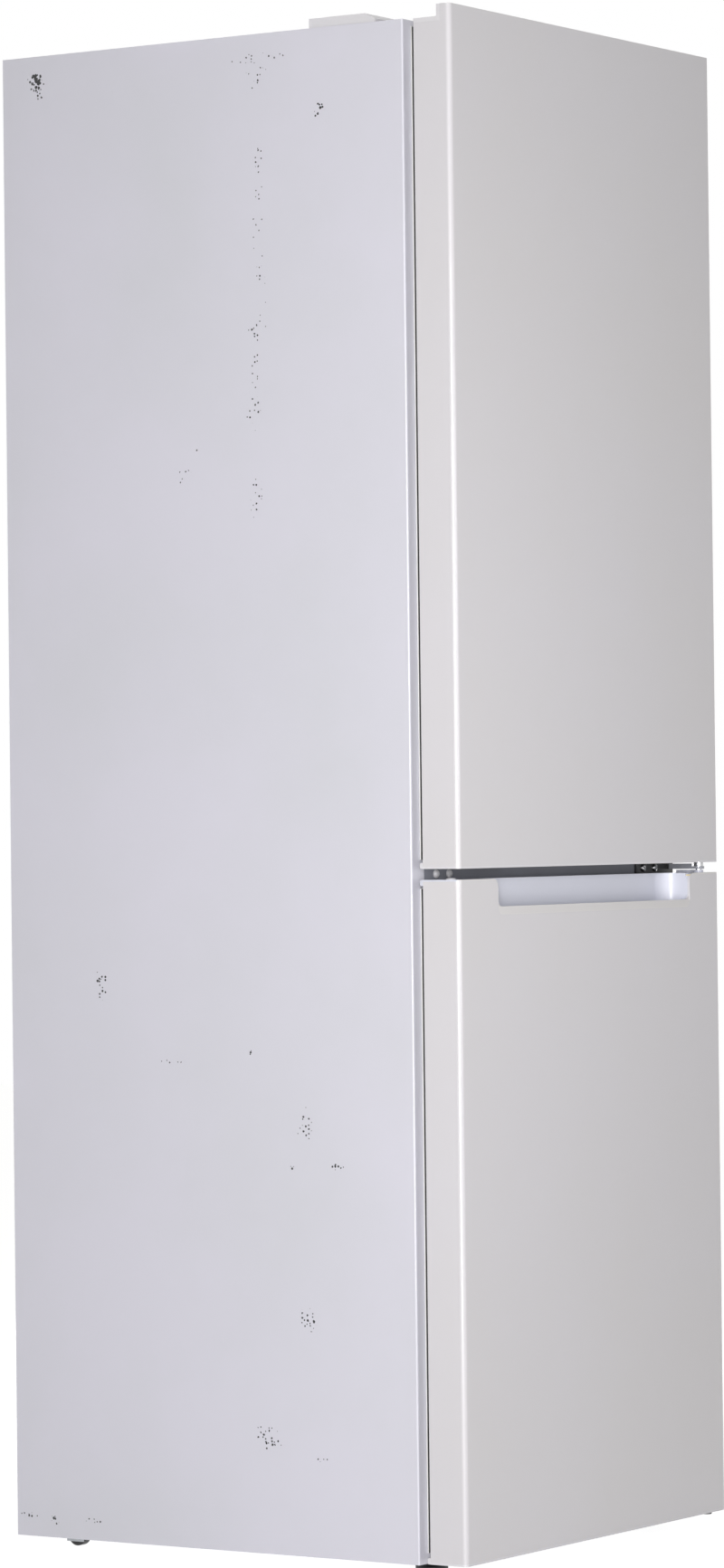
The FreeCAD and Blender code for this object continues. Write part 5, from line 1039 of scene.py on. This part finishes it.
@dataclass
class Studio:
    """Plain pale floor, white surroundings, soft lamps and the camera.

    Attributes:
        floor_half: Half the side of the square floor.
        floor_z: Its height, a little under the part's feet.
        floor_pale: sRGB hex value of the floor as a surface that lights the object.
        floor_shade: sRGB hex value of what the camera sees of its lit surface, on top of its glow.
        floor_glow: Strength of the floor's own white as the camera sees it.
        sky: Strength of the surroundings on the object.
        sky_colour: sRGB hex value of the surroundings as light, a little warm like a room's walls.
        lamp_colour: sRGB hex value of the lamps, almost neutral.
    """

    floor_half: float = 9.0
    floor_z: float = -0.0002
    floor_pale: str = "c8c8c8"
    floor_shade: str = "b0b0b0"
    floor_glow: float = 0.94
    sky: float = 0.12
    sky_colour: str = "fffcf2"
    lamp_colour: str = "fffeff"

    def is_seen(self, tree: bpy.types.NodeTree) -> bpy.types.NodeSocket:
        """Gives 1 for a ray that shows the background itself: from the camera, off gloss, through glass.

        Args:
            tree: The tree that gets the nodes.

        Returns:
            The socket with 1 or 0.
        """
        path = add_node(tree, "LightPath").outputs
        first = calculate(tree, "MAXIMUM", path["Is Camera Ray"], path["Is Glossy Ray"])
        return calculate(tree, "MAXIMUM", first, path["Is Transmission Ray"])

    def surroundings(self) -> None:
        """Makes the world: pure white where it is seen, and a plain soft level as light."""
        world = bpy.data.worlds.new("studio_surroundings")
        world.use_nodes = True
        tree = world.node_tree
        tree.nodes.clear()
        light = add_node(tree, "Background", {"Color": linear(self.sky_colour), "Strength": self.sky})
        white = add_node(tree, "Background", {"Color": WHITE, "Strength": 1.0})
        both = add_node(
            tree, "MixShader", links={0: self.is_seen(tree), 1: light.outputs[0], 2: white.outputs[0]}
        )
        add_node(tree, "OutputWorld", links={"Surface": both.outputs[0]})
        bpy.context.scene.world = world

    def floor(self) -> bpy.types.Object:
        """Makes the floor: white to the camera but for the object's shadow, and pale as a surface.

        Returns:
            The floor.
        """
        half, z = self.floor_half, self.floor_z
        points = np.array([[-half, -half, z], [half, -half, z], [half, half, z], [-half, half, z]])
        piece = surface_object("floor", points, np.array([[0, 1, 2, 3]]))
        made = bpy.data.materials.new("matt_pale_floor")
        made.use_nodes = True
        tree = made.node_tree
        tree.nodes.clear()
        pale = add_node(tree, "BsdfDiffuse", {"Color": linear(self.floor_pale)})
        shade = add_node(tree, "BsdfDiffuse", {"Color": linear(self.floor_shade)})
        glow = add_node(tree, "Emission", {"Color": WHITE, "Strength": self.floor_glow})
        seen = add_node(tree, "AddShader", links={0: shade.outputs[0], 1: glow.outputs[0]})
        both = add_node(
            tree, "MixShader", links={0: self.is_seen(tree), 1: pale.outputs[0], 2: seen.outputs[0]}
        )
        add_node(tree, "OutputMaterial", links={"Surface": both.outputs[0]})
        piece.data.materials.append(made)
        return piece

    def lamps(self) -> None:
        """Places the soft boxes."""
        for box in SOFT_BOXES:
            box.add(self.lamp_colour)

    def camera(self) -> None:
        """Sets the camera where the photograph was taken from.

        Its place and turn come from the edges of the appliance in the photograph, whose width and
        depth are known: 6.3 m from the part's left front edge, 32 degrees from square on to its left
        side, and 0.88 m up.
        """
        place = (-5.63684, -3.68817, 0.87841)
        right = Vector((0.54837877, -0.83615571, -0.01115151))
        up = Vector((-0.00461226, -0.01635959, 0.99985554))
        back = Vector((-0.83621735, -0.54824812, -0.01282782))
        lens = bpy.data.cameras.new("photo_camera")
        lens.sensor_width = 36.0
        lens.lens = 127.53
        lens.shift_y = -0.0271
        lens.clip_end = 60.0
        camera = bpy.data.objects.new("photo_camera", lens)
        turn = Matrix((right, up, back)).transposed()
        camera.matrix_world = Matrix.Translation(place) @ turn.to_4x4()
        bpy.context.scene.collection.objects.link(camera)
        bpy.context.scene.camera = camera

    def build(self) -> None:
        """Makes the camera, the light and the floor."""
        self.camera()
        self.surroundings()
        self.lamps()
        self.floor()
        bpy.context.scene.view_settings.view_transform = "Standard"


def main() -> None:
    """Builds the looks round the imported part."""
    logging.basicConfig(level=logging.INFO, format="%(name)s: %(message)s")
    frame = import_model()
    Studio().build()
    palette = Palette()
    palette.dress(frame)
    pieces = [
        DoorGasket("upper_gasket_folds", "upper_door_gasket", "upper_door"),
        DoorGasket("lower_gasket_folds", "lower_door_gasket", "lower_door"),
        HingeScrews(),
    ]
    for maker in pieces:
        piece = maker.build(palette)
        LOG.info("%s has %d faces", piece.name, len(piece.data.polygons))


if __name__ == "__main__":
    main()
